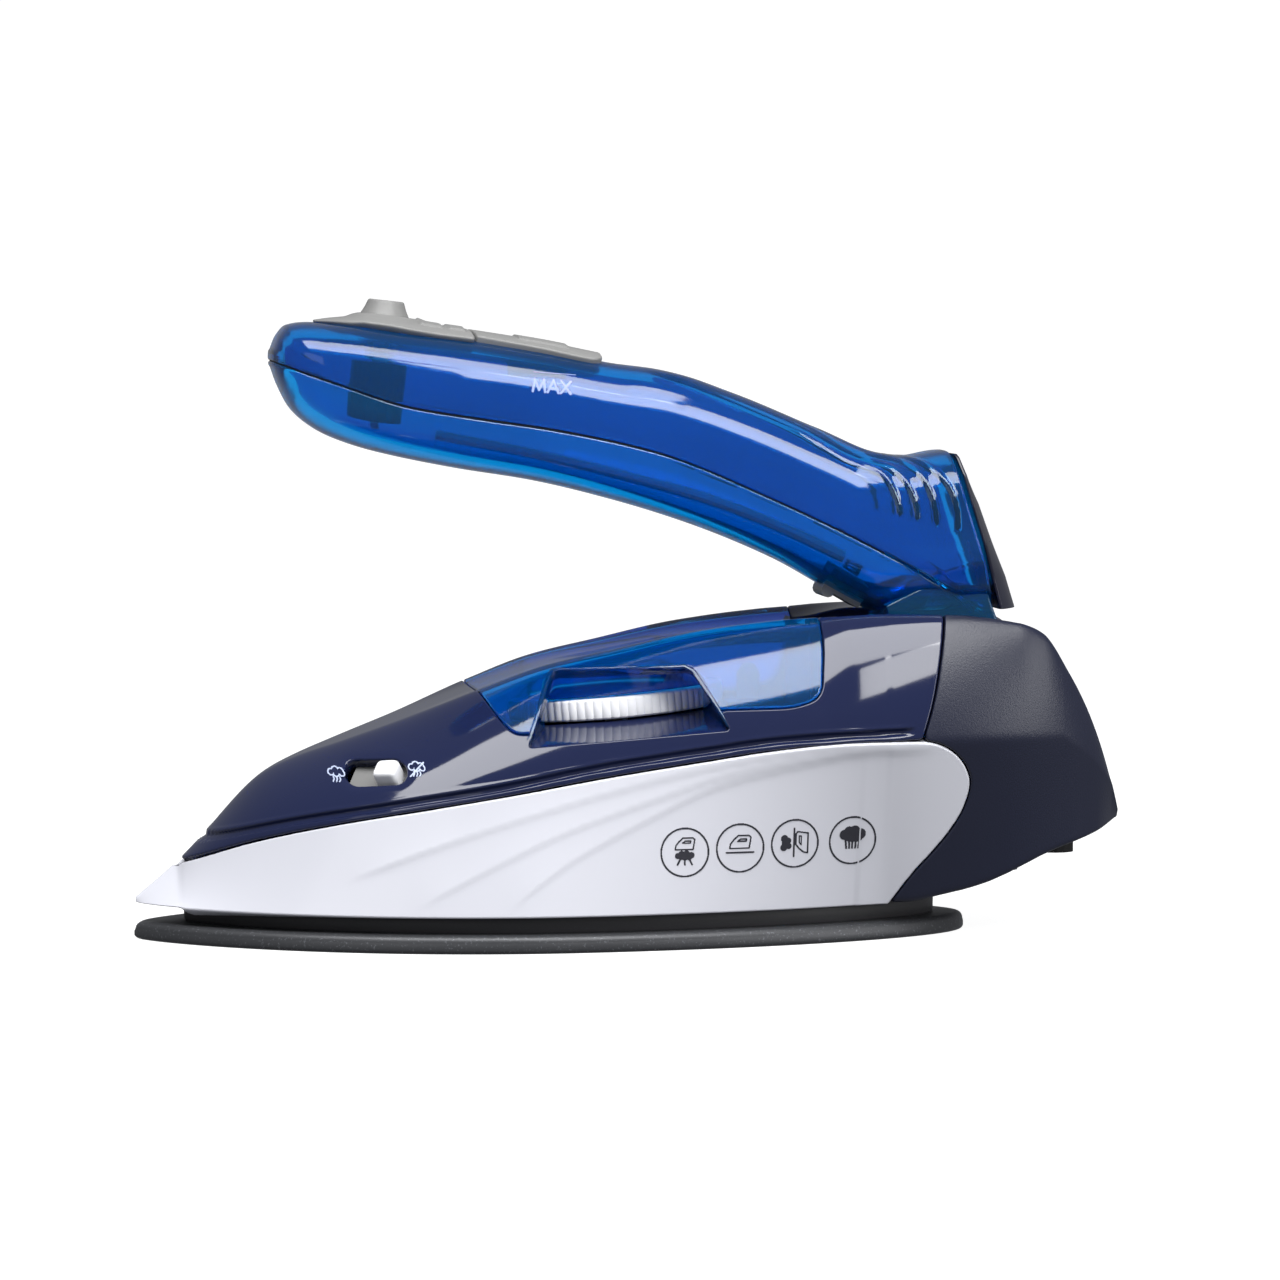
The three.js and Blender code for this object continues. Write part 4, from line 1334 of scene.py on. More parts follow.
@dataclass
class HandleForm:
    """The form of the handle: rails along its length and rounded sections."""

    nose: float = 28.3
    tail: float = 176
    power: float = 2.6
    top_power: float = 3.1
    nose_long: float = 6
    nose_rows: int = 26
    fine_after: tuple = (100, 0.55)
    nose_cap: tuple = ((0.05, 0.5), (0.5, 0.45), (0.85, 0.25))
    crease_height: float = 0.55
    crease_banks: tuple = (9.0, 3.5)
    rib_height: float = 0.3
    rib_half: float = 0.42
    top: Rail = field(default_factory=lambda: Rail(
        (28.3, 120), (29.4, 122.6), (31.5, 124.6), (36, 125.2), (44, 125), (58, 123.5), (82, 119.9),
        (98, 116.8), (106, 115.7), (122.4, 110.4), (139, 103.6), (151.4, 98.6), (157, 97.5),
        (166, 98.8), (176, 98.8),
    ))
    bottom: Rail = field(default_factory=lambda: Rail(
        (28.3, 116), (29.5, 112.6), (32.2, 107.6), (36.2, 104.1), (40.3, 101.9), (48.4, 99.2),
        (64.8, 95.7), (81.2, 93), (97.6, 89), (114.1, 83.8), (130.7, 76.9), (149, 66.9), (152, 65.8),
        (176, 65.8),
    ))
    half: Rail = field(default_factory=lambda: Rail(
        (28.3, 8), (29.5, 11), (32.2, 14), (38, 16.8), (48, 17.8), (64, 17.4), (82, 16), (100, 15),
        (125, 14.4), (145, 15), (158, 16.6), (170, 17.5),
    ))
    foot: Rail = field(default_factory=lambda: Rail((60, 14), (68, 14), (80, 19)))
    seam: Rail = field(default_factory=lambda: Rail(
        (20, 120.5), (28.2, 117.3), (40.3, 113), (54.8, 108.3), (69, 105.9), (84.7, 103.5),
        (105.4, 98.9), (129.6, 89.1), (153.6, 77.3), (180, 61),
    ))
    crease: Rail = field(default_factory=lambda: Rail(
        (28.9, 121.7), (35.5, 117.8), (46.8, 113.5), (58.9, 110.7), (74.5, 108.2), (89.9, 105.8),
        (103.9, 102.4), (111.7, 99.4), (129.7, 92), (147.8, 83.6), (162.9, 75), (171.4, 65.8),
    ))
    ribs: tuple = (
        (
            (103, 115.9), (116.1, 111.1), (133, 103.9), (144.2, 97.7), (151.4, 94.9), (154.1, 90.4),
            (155.3, 85.4),
        ),
        (
            (103.2, 116), (117.2, 111.3), (134.1, 104.4), (145.9, 98.3), (154.4, 95.4), (157.6, 90.4),
            (158.9, 84.3),
        ),
        (
            (103.8, 116.1), (118.4, 111.4), (135.2, 104.7), (147.6, 98.5), (157.8, 96.2), (161.4, 90.4),
            (162.8, 83.1),
        ),
        (
            (104.4, 116.2), (119.5, 111.6), (136.3, 105), (149.9, 98.5), (160, 96.8), (164.8, 92.4),
            (166.7, 87), (166.7, 82.3),
        ),
    )

    def _middle(self, x: Array | float) -> tuple[Array, Array]:
        """Height of a section's middle and half its height."""
        return (self.top(x) + self.bottom(x)) / 2, (self.top(x) - self.bottom(x)) / 2

    def skin(self, x: Array, z: Array) -> Array:
        """Half the width of the handle at height z."""
        middle, high = self._middle(x)
        reach = np.clip(np.abs(z - middle) / high, 0, 1)
        power = np.where(z > middle, self.top_power, self.power)
        return np.minimum(self.half(x) * (1 - reach**power) ** (1 / power), self.foot(z))

    def crown(self, x: Array, y: Array) -> Array:
        """Height of the handle's skin above y."""
        middle, high = self._middle(x)
        reach = np.clip(np.abs(y) / self.half(x), 0, 1)
        return middle + high * (1 - reach**self.top_power) ** (1 / self.top_power)

    def grid(self, step: float = 0.68, sides: int = 220) -> Array:
        """Points over the handle's skin, round from the bottom's middle.

        Args:
            step: Distance between rows away from the nose.
            sides: Points round a section.

        Returns:
            Rows along the length and columns round it.
        """
        stations = list(self.nose + self.nose_long * (1 - np.cos(quarter_turn(self.nose_rows))))
        rear, fine = self.fine_after
        while stations[-1] < self.tail:
            share = fine if stations[-1] > rear else 1.0
            stations.append(min(self.tail, stations[-1] + step * share))
        turn = 2 * math.pi * (np.arange(sides) + 0.5) / sides - math.pi / 2
        bend = 2 / np.where(np.sin(turn) > 0, self.top_power, self.power)
        rows = []
        for x in stations:
            middle, high = self._middle(x)
            z = middle + high * signed_power(np.sin(turn), bend)
            y = self.half(x) * signed_power(np.cos(turn), bend)
            y = np.sign(y) * np.minimum(np.abs(y), self.foot(z))
            rows.append(self._even(np.stack([np.full(sides, x), y, z], -1)))
        first = rows[0]
        middle = first.mean(0)
        caps = []
        for share, out in self.nose_cap:
            cap = middle + (first - middle) * share
            cap[:, 0] = first[:, 0] - out
            caps.append(cap)
        return np.array([*caps, *rows])

    @staticmethod
    def _even(ring: Array) -> Array:
        """The same ring with its points spread evenly."""
        closed = np.vstack([ring, ring[:1]])
        reach = np.concatenate([[0], np.cumsum(np.linalg.norm(np.diff(closed, axis=0), axis=1))])
        at = np.linspace(0, reach[-1], len(ring), endpoint=False)
        return np.stack([np.interp(at, reach, closed[:, k]) for k in range(3)], -1)

    def relief(self, p: Array) -> Array:
        """Height of the long crease and the ribs on the handle's skin."""
        x, z = p[..., 0], p[..., 2]
        over = z - self.crease(x)
        fade = smoothstep(29, 34, x)
        bank = np.where(over > 0, *self.crease_banks)
        height = self.crease_height * np.clip(1 - np.abs(over) / bank, 0, 1) * fade
        for line in self.ribs:
            away, along = line_distance(smooth_line(line, 6), x, z)
            fade = smoothstep(0, 0.1, along) * (1 - smoothstep(0.97, 1.0, along))
            height += self.rib_height * np.exp(-((away / self.rib_half) ** 2)) * fade
        return height


@dataclass
class Handle:
    """The water tank that is also the handle: two clear shells, their seal and the rear plate."""

    shop: Workshop
    form: HandleForm = field(default_factory=HandleForm)
    wall: float = 2.2
    seam_gap: float = 0.2
    pivot: tuple = (164.7, 60.4)
    hub: float = 10.8
    foot_half: float = 14.0
    back: tuple = ((167, 99.4), (167.2, 96), (168.4, 90.5), (170.2, 84), (173.4, 74), (176.4, 62))
    plate_levels: tuple = (
        (98.3, 166.6, 167.2, 11.2), (97.6, 167, 168.3, 12), (94, 168.1, 170.2, 14.4),
        (88, 169.6, 173.2, 15.6), (80, 172.2, 176.2, 15), (73, 174.2, 179.2, 13.6),
        (66.6, 176, 181.2, 13),
    )
    plate_edge: float = 1.2
    holes: tuple = ((82.5, 7.0), (BUTTON_AT[0], 5.7))
    holes_above: float = 110
    back_gap: float = 0.2
    foot_line: tuple = ((175.5, 64.8), (173.2, 71), (160.5, 71.5), (152.6, 67.6), (153.9, 62.5))
    seal_inset: float = 0.35
    seal_half: float = 0.3
    seal_deep: float = 1.3
    seal_end: float = 152

    def _keep(self, p: Array) -> Array:
        """Distance inside the tank's rear end and outside the holes in its top."""
        x, y, z = p[..., 0], p[..., 1], p[..., 2]
        back = smooth_line(self.back, 5)
        order = np.argsort(back[:, 1])
        keep = np.interp(z, back[order, 1], back[order, 0]) - x - self.back_gap - ROLL
        for hole_x, radius in self.holes:
            away = np.hypot(x - hole_x, y) - radius - ROLL
            keep = np.minimum(keep, np.where(z > self.holes_above, away, FAR))
        return keep

    def build(self) -> None:
        """Makes the handle's pieces."""
        grid = self.form.grid()
        out = -grid_normals(grid, wrap=True)
        skin = grid + out * self.form.relief(grid)[..., None]
        keep = self._keep(grid)
        over = (grid[..., 2] - self.form.seam(grid[..., 0])) * 0.93
        edge = self.seam_gap / 2 + ROLL
        for name, side in (("tank_upper_shell", 1), ("tank_lower_shell", -1)):
            patch = Patch(skin, np.minimum(keep, side * over - edge), wrap=True, flip=True)
            room = 0.45 * self.form.half(patch.points[:, 0])
            solid, finish = patch.thickened(np.minimum(self.wall, room)), None
            if side < 0:
                # The lower shell takes the lighter copy of the clear blue: painted light for the brighter
                # light through it.
                solid, finish = solid + self._foot(), self.shop.finishes.clear_painted_lighter
            self.shop.piece(name + "_skin", solid, Body.HANDLE, Slot.CLEAR, [name], finish)
        keep = np.minimum(self.seal_half - np.abs(over), self.seal_end - grid[..., 0])
        self._seal(Patch(grid - out * self.seal_inset, keep, wrap=True, flip=True))
        self._plate()

    def _seal(self, patch: Patch) -> None:
        """Makes the dark seal that shows as a line between the shells."""
        solid = patch.thickened(self.seal_deep, roll=0.05, steps=1)
        rubber = self.shop.finishes.of[Slot.RUBBER]
        self.shop.piece("tank_seal_bead", solid, Body.HANDLE, Slot.CLEAR, ["tank_seal"], rubber)

    def _foot(self) -> Solid:
        """The solid foot that runs from the tank's lower end to the hub on the pivot."""
        x, z = self.pivot
        turn = np.linspace(math.pi, 2 * math.pi, 40)
        hub = np.stack([x + self.hub * np.cos(turn), z + self.hub * np.sin(turn)], -1)
        line = np.vstack([hub, self.foot_line])
        half = self.foot_half
        solid = slab(np.stack([line[:, 0], -line[:, 1]], -1), -half, half, 0.6)
        points = np.stack([solid.points[:, 0], solid.points[:, 2], -solid.points[:, 1]], -1)
        return Solid(points, solid.faces)

    def _plate(self) -> None:
        """Makes the dark bowed plate behind the tank."""
        levels = np.array(self.plate_levels)[::-1]
        turn = full_turn(96)
        rings = []
        for height in np.linspace(levels[-1, 0], levels[0, 0], 90):
            front, back, half = (np.interp(height, levels[:, 0], levels[:, k]) for k in (1, 2, 3))
            y = half * signed_power(np.cos(turn), 0.75)
            bow = back - (back - front - self.plate_edge) * (np.abs(y) / half) ** 2.4
            deep = np.where(np.sin(turn) > 0, bow, front)
            middle = front + self.plate_edge / 2
            x = middle + (deep - middle) * np.abs(np.sin(turn)) ** 0.35
            rings.append(np.stack([x, y, np.full(len(turn), height)], -1))
        self.shop.piece(
            "handle_rear_cover", loft(rings), Body.HANDLE, Slot.DARK, ["handle_rear_plate"],
            self.shop.finishes.plate, crease=60,
        )


# Window pocket, dial and slide switch


@dataclass
class DialPocket:
    """The hollow in each side of the window that the thermostat dial shows through."""

    shop: Workshop
    form: HullForm
    reach: float = 16.2
    mouth: float = 2.6
    rim: tuple = (22.5, 1.8)
    wall: float = 0.8
    sunk: float = 0.25
    shelf_edge: tuple = ((76.7, 40.8), (88.7, 40.95), (103.7, 42.2), (117.8, 44.1))
    outer: tuple = (
        (77.3, 41), (82.6, 53.8), (83.6, 55.2), (85.6, 55.6), (109.2, 56.1), (110.8, 55.2), (117.3, 44.2),
    )

    def _inner(self, x: Array, side: float) -> Array:
        """A point on the edge of the dial's opening.

        Args:
            x: Place along the length.
            side: 1 for the upper edge, -1 for the lower.

        Returns:
            Points on the left side.
        """
        off = x - DIAL_AT[0]
        radius = self.rim[0] - self.rim[1] * (1 - (off / self.reach) ** 2)
        height = DIAL_AT[1] + off * math.tan(math.radians(DIAL_TILT))
        return np.stack([x, -np.sqrt(radius**2 - off**2), height + side * self.mouth], -1)

    def _walls(self) -> Solid:
        """The clear front, upper and rear walls."""
        low, high = DIAL_AT[0] - self.reach, DIAL_AT[0] + self.reach
        count = (22, 3, 3, 56, 3, 22)
        outer, inner = [], []
        front = (self._inner(np.array(low), -1), self._inner(np.array(low), 1))
        rear = (self._inner(np.array(high), 1), self._inner(np.array(high), -1))
        for k, steps in enumerate(count):
            a, b = np.array(self.outer[k], float), np.array(self.outer[k + 1], float)
            for t in np.linspace(0, 1, steps, endpoint=False):
                outer.append(a + (b - a) * t)
                if k == 0:
                    inner.append(front[0] + (front[1] - front[0]) * t)
                elif k == len(count) - 1:
                    inner.append(rear[0] + (rear[1] - rear[0]) * t)
                else:
                    done = (sum(count[1:k]) + t * steps) / sum(count[1:-1])
                    inner.append(self._inner(low + (high - low) * np.array(done), 1))
        outer.append(np.array(self.outer[-1], float))
        inner.append(rear[1])
        return self._sheet(np.array(outer), np.array(inner), flip=True)

    def _sheet(self, outer: Array, inner: Array, flip: bool) -> Solid:
        """A wall between an edge on the housing's skin and the dial's opening.

        Args:
            outer: Points (x, z) on the housing.
            inner: Points beside the dial.
            flip: Whether the open side is the other way round.

        Returns:
            The closed wall.
        """
        y = -self.form.side(outer[:, 0], outer[:, 1]) + self.sunk
        skin = np.stack([outer[:, 0], y, outer[:, 1]], -1)
        t = np.linspace(0, 1, 15)[None, :, None]
        grid = skin[:, None] * (1 - t) + inner[:, None] * t
        patch = Patch(grid, np.ones(grid.shape[:2]), flip=flip)
        return patch.thickened(self.wall, roll=0.12, steps=2)

    def build(self) -> None:
        """Makes the walls and shelves on both sides."""
        walls = self._walls()
        x = np.linspace(self.outer[0][0], self.outer[-1][0], 80)
        lower = np.stack([x, np.interp(x, *zip(*self.shelf_edge))], -1)
        low, high = DIAL_AT[0] - self.reach, DIAL_AT[0] + self.reach
        shelf = self._sheet(lower, self._inner(np.linspace(low, high, len(x)), -1), flip=False)
        for side, pair in ((Side.LEFT, (walls, shelf)), (Side.RIGHT, (walls.mirrored(), shelf.mirrored()))):
            tail = side.name.lower()
            self.shop.piece(f"window_pocket_{tail}", pair[0], Body.BASE, Slot.CLEAR)
            self.shop.piece(f"dial_shelf_{tail}", pair[1], Body.BASE, Slot.NAVY)


@dataclass
class Dial:
    """The fluted white dial of the thermostat."""

    shop: Workshop
    radius: float = 22.0
    thick: float = 4.4
    rim: tuple = (1.1, 0.55)
    dish: tuple = ((0.02, 0.9), (15, 0.9), (15.8, 0.5), (16.2, 0))
    flutes: int = 78
    depth: float = 0.32

    def build(self) -> None:
        """Makes the wheel with its rounded flutes and dished faces."""
        half = self.thick / 2
        turn = full_turn(self.flutes * 8)
        wave = np.abs(np.cos(turn * self.flutes / 2)) ** 0.7 - 1
        wide, high = self.rim
        flat = self.radius - wide
        profile = [(r, sunk - half) for r, sunk in self.dish]
        profile += [(flat + wide * math.sin(a), high * (1 - math.cos(a)) - half) for a in quarter_turn(5)]
        profile += [(r, -z) for r, z in profile[::-1]]
        rings = []
        for radius, z in profile:
            share = np.clip((radius - flat + 0.3) / 1.2, 0, 1)
            r = radius + wave * self.depth * share
            rings.append(np.stack([r * np.cos(turn), r * np.sin(turn), np.full(len(turn), z)], -1))
        solid = loft(rings).moved(tilted(DIAL_AT, -DIAL_TILT))
        white = self.shop.finishes.bright_white
        self.shop.piece("dial_wheel", solid, Body.DIAL, Slot.WHITE, ["thermostat_dial"], white, 55)


@dataclass
class SlideSwitch:
    """The white knob of the steam switch and the strip that fills the slot behind it; the strip's grey is
    painted shade for the hollow of the slot.
    """

    shop: Workshop
    form: HullForm
    knob_at: float = 2.7
    knob: tuple = (5.0, 4.4)
    knob_round: float = 0.42
    knob_foot: float = -3.2
    proud: float = 1.3
    strip: tuple = ((-7, -3.3), (11.5, -3.3), (11.5, 5.4), (-7, 5.4))
    strip_levels: tuple = (-3.8, -3.0)

    def place(self) -> Matrix:
        """The slot's own axes: along it, up across it and out of the skin."""
        x, z = SLOT_AT

        def on(along: float, lift: float) -> Vector:
            """A point on the left side of the housing."""
            px, pz = x + along, z + along * SLOT_RISE + lift
            return Vector((px, -float(self.form.side(px, pz)), pz))

        along = (on(5, 0) - on(-5, 0)).normalized()
        out = along.cross((on(0, 2) - on(0, 0)).normalized()).normalized()
        up = out.cross(along)
        matrix = Matrix((along, up, out)).transposed().to_4x4()
        matrix.translation = on(0, 0)
        return matrix

    def build(self) -> None:
        """Makes the knob and its strip."""
        turn = full_turn(72)
        unit = signed_power(np.stack([np.cos(turn), np.sin(turn)], -1), self.knob_round)
        half = np.array(self.knob) / 2
        levels = [(self.knob_foot, 1.0)]
        levels += [(self.proud - 1 + math.sin(a), 1 - 0.26 * (1 - math.cos(a))) for a in quarter_turn(7)]
        levels += [(self.proud - 0.04, 0.5), (self.proud - 0.08, 0.1)]
        knob = loft([lifted(unit * half * share + [self.knob_at, 0], level) for level, share in levels])
        strip = slab(np.array(self.strip, float), *self.strip_levels, 0.2)
        place, body = self.place(), Body.SLIDER
        white = self.shop.finishes.bright_white
        self.shop.piece("switch_knob", knob.moved(place), body, Slot.WHITE, ["steam_slider"], white, 50)
        # The strip's grey is painted shade: it darkens the strip to stand for the shade down in the slot.
        self.shop.piece("switch_strip_painted_shade", strip.moved(place), body, Slot.GREY, crease=50)


# Sole


@dataclass
class Sole:
    """The coated soleplate with its steam holes and the dark riser above it."""

    shop: Workshop
    rim: float = 3.7
    riser_top: float = 7.3
    casting: Leaf = Leaf(30, 140, 21, 82)
    steam_holes: tuple = ((20, 0), (30, 7), (44, 14), (62, 20), (84, 24))
    steam_radius: float = 1.5
    face_roll: float = 0.9
    top_roll: float = 1.5

    @staticmethod
    def drilled(rings: Sequence[Array], holes: Sequence[tuple], bevel: float) -> Solid:
        """A plate with flat faces and holes right through it.

        Args:
            rings: Rings up its side, the first on the lower face and the last on the upper.
            holes: (outline at the lower face, height of the lower face, height of the upper).
            bevel: Width of the soft edge round each hole.

        Returns:
            The solid.
        """
        count = len(rings[0])
        side = loft(rings, closed=False)
        points, faces = [side.points], list(side.faces)
        total = len(side.points)
        caps = {0: [(rings[0], list(range(count)))], 1: [(rings[-1], list(range(total - count, total)))]}
        for outline, low, high in holes:
            middle, steps = outline.mean(0), len(outline)
            away = outline - middle
            grown = middle + away * (1 + bevel / np.linalg.norm(away, axis=1, keepdims=True))
            stack = [(grown, low), (outline, low + bevel), (outline, high - bevel), (grown, high)]
            wall = [lifted(plan, z) for plan, z in stack]
            made = loft(wall, closed=False)
            points.append(made.points)
            faces += [[i + total for i in face[::-1]] for face in made.faces]
            caps[0].append((wall[0], list(range(total, total + steps))))
            caps[1].append((wall[-1], list(range(total + 3 * steps, total + 4 * steps))))
            total += 4 * steps
        for loops in caps.values():
            numbers = [i for _, ids in loops for i in ids]
            triangles = tessellate_polygon([[Vector(p) for p in loop] for loop, _ in loops])
            faces += [[numbers[i] for i in triangle] for triangle in triangles]
        return Solid(np.vstack(points), faces)

    @staticmethod
    def _rings(leaf: Leaf, levels: Sequence[tuple[float, float]]) -> list[Array]:
        """Rings of a leaf at (inset, height) levels."""
        return [lifted(leaf.plan(inset), z) for inset, z in levels]

    def build(self) -> None:
        """Makes the plate and the riser."""
        top = self.rim
        low, high = self.face_roll, self.top_roll
        turns = quarter_turn(7)
        levels = [(low * (1 - math.sin(a)), low * (1 - math.cos(a))) for a in turns]
        levels += [(0.0, 1.6), (0.15, 2.2)]
        levels += [(0.15 + high * (1 - math.cos(a)), top - high * (1 - math.sin(a))) for a in turns]
        spots = {(x, sign * y) for x, y in self.steam_holes for sign in (-1, 1)}
        holes = [(circle(x, y, self.steam_radius, 20), 0.0, top) for x, y in sorted(spots)]
        plate = self.drilled(self._rings(SOLE, levels), holes, 0.35)
        self.shop.piece("sole_plate", plate, Body.BASE, Slot.SOLE, ["soleplate"], crease=35)
        low, high = top + 0.02, self.riser_top
        levels = [(0.5, low), (0.35, low + 0.3), (0.3, high - 0.5), (0.45, high - 0.12), (0.8, high)]
        opening = self.casting.plan(-0.45)[::4]
        riser = self.drilled(self._rings(RISER, levels), [(opening, low, high)], 0.1)
        self.shop.piece("riser_band", riser, Body.BASE, Slot.DARK, ["heat_shield"], crease=35)


# Grey trim on top of the handle


@dataclass
class TopTrim:
    """The grey control bezel, the steam button and the filler cap."""

    shop: Workshop
    form: HandleForm
    bezel_half: Rail = field(default_factory=lambda: Rail(
        (36.6, 1.6), (38.2, 4.4), (41, 7), (44.5, 9), (49, 10.6), (55, 11.2), (62, 11), (70, 10.4),
        (80, 9.9), (90, 9.3), (95.3, 9),
    ))
    front: float = 36.8
    split: tuple = (69.4, 0.12)
    split_gap: float = 0.5
    end: float = 95.2
    edge: float = 0.45
    hole: float = 5.8
    plug_at: float = 82.5
    pad_height: float = 0.38
    pads: tuple = ((57.8, 62.6), (63.6, 67.2), (77.8, 88.5))
    lifts: Rail = field(default_factory=lambda: Rail(
        (36.6, 0.5), (40, 1.0), (44, 1.5), (47, 2.1), (52, 2.3), (57, 2.0), (62, 1.75), (75, 1.75),
        (88, 1.75), (95.3, 1.7),
    ))

    def _skin(self, start: float, end: float) -> Array:
        """Points over the trim's upper face.

        Args:
            start: First place along the handle.
            end: Last place.

        Returns:
            A grid from the left edge over the top to the right.
        """
        x = np.arange(start, end + 0.01, 0.35)[:, None]
        t = np.linspace(-1, 1, 141)[None, :]
        y = t * self.bezel_half(x)
        z = self.form.crown(x, y) + self.lifts(x) * (1 - 0.35 * np.abs(t) ** 4)
        for low, high in self.pads:
            rise = smoothstep(low, low + 0.35, x) * (1 - smoothstep(high - 0.35, high, x))
            z = z + self.pad_height * rise * (1 - smoothstep(0.72, 0.78, np.abs(t)))
        z = z + 0.35 * (1 - smoothstep(6.4, 8.6, np.hypot(x - BUTTON_AT[0], y)))
        return np.stack(np.broadcast_arrays(x, y, z), -1)

    def _slant(self, y: Array) -> Array:
        """Place of the split between the bezel and the cap, which runs back from the middle."""
        place, slope = self.split
        return place - slope * (14 - np.abs(y))

    def _rim(self, x: Array, y: Array) -> Array:
        """Distance inside the trim's long sides."""
        return self.bezel_half(x) - np.abs(y) - 0.25

    def _depth(self, points: Array) -> Array:
        """How far the trim's skin stands over the tank."""
        return np.maximum(0.35, points[:, 2] - self.form.crown(points[:, 0], points[:, 1]) - 0.06)

    def build(self) -> None:
        """Makes the three pieces."""
        grid = self._skin(self.front, 70.6)
        x, y = grid[..., 0], grid[..., 1]
        hole = np.hypot(x - BUTTON_AT[0], y) - self.hole - self.edge
        inside = [self._slant(y) - x - self.edge, hole, self._rim(x, y), x - self.front - 0.3]
        patch = Patch(grid, np.min(inside, axis=0))
        solid = patch.thickened(self._depth(patch.points), roll=self.edge)
        self.shop.piece("bezel_cover", solid, Body.HANDLE, Slot.GREY, ["control_bezel"])
        self._cap()
        self._button()

    def _cap(self) -> None:
        """Makes the filler cap with its finger tab and plug."""
        grid = self._skin(67.0, self.end)
        x, y = grid[..., 0], grid[..., 1]
        bend = np.hypot(np.maximum(x - 91.7, 0) / 3.5, np.maximum(np.abs(y) - 5.5, 0) / 3.6)
        front = x - self._slant(y) - self.split_gap - self.edge
        inside = [front, (1 - bend) * 4, self._rim(x, y), self.end - self.edge - x]
        patch = Patch(grid, np.min(inside, axis=0))
        depth = self._depth(patch.points)
        depth = np.where(patch.points[:, 0] > 89.8, np.minimum(depth, 1.3), depth)
        plug = turned(soft_profile([(0, 114.5), (6.0, 114.5), (6.0, 120), (0, 120)], 0.5), 56)
        plug = plug.moved(Matrix.Translation((self.plug_at, 0, 0)))
        solid = patch.thickened(depth, roll=self.edge) + plug
        self.shop.piece("cap_cover", solid, Body.CAP, Slot.GREY, ["fill_cap"])

    def _button(self) -> None:
        """Makes the steam button, a round boss with a soft edge and a shallow dish."""
        profile = [(0, 2.85), (1.6, 2.9), (2.9, 3.08)]
        profile += [(3.2 + 0.6 * math.sin(a), 2.48 + 0.6 * math.cos(a)) for a in np.linspace(0, 1.25, 8)]
        profile += [(4.2, 1.5), (4.75, 0.4), (5.15, -0.35), (5.2, -1.4), (0, -1.4)]
        solid = turned(profile, 72).moved(tilted(BUTTON_AT, BUTTON_TILT))
        self.shop.piece("button_top", solid, Body.BUTTON, Slot.GREY, ["steam_button"], crease=50)


# Prints


class Symbols(Enum):
    """The printed function symbols, in order from the nose."""

    BURST = 0
    DRY = 1
    UPRIGHT = 2
    CLOUD = 3


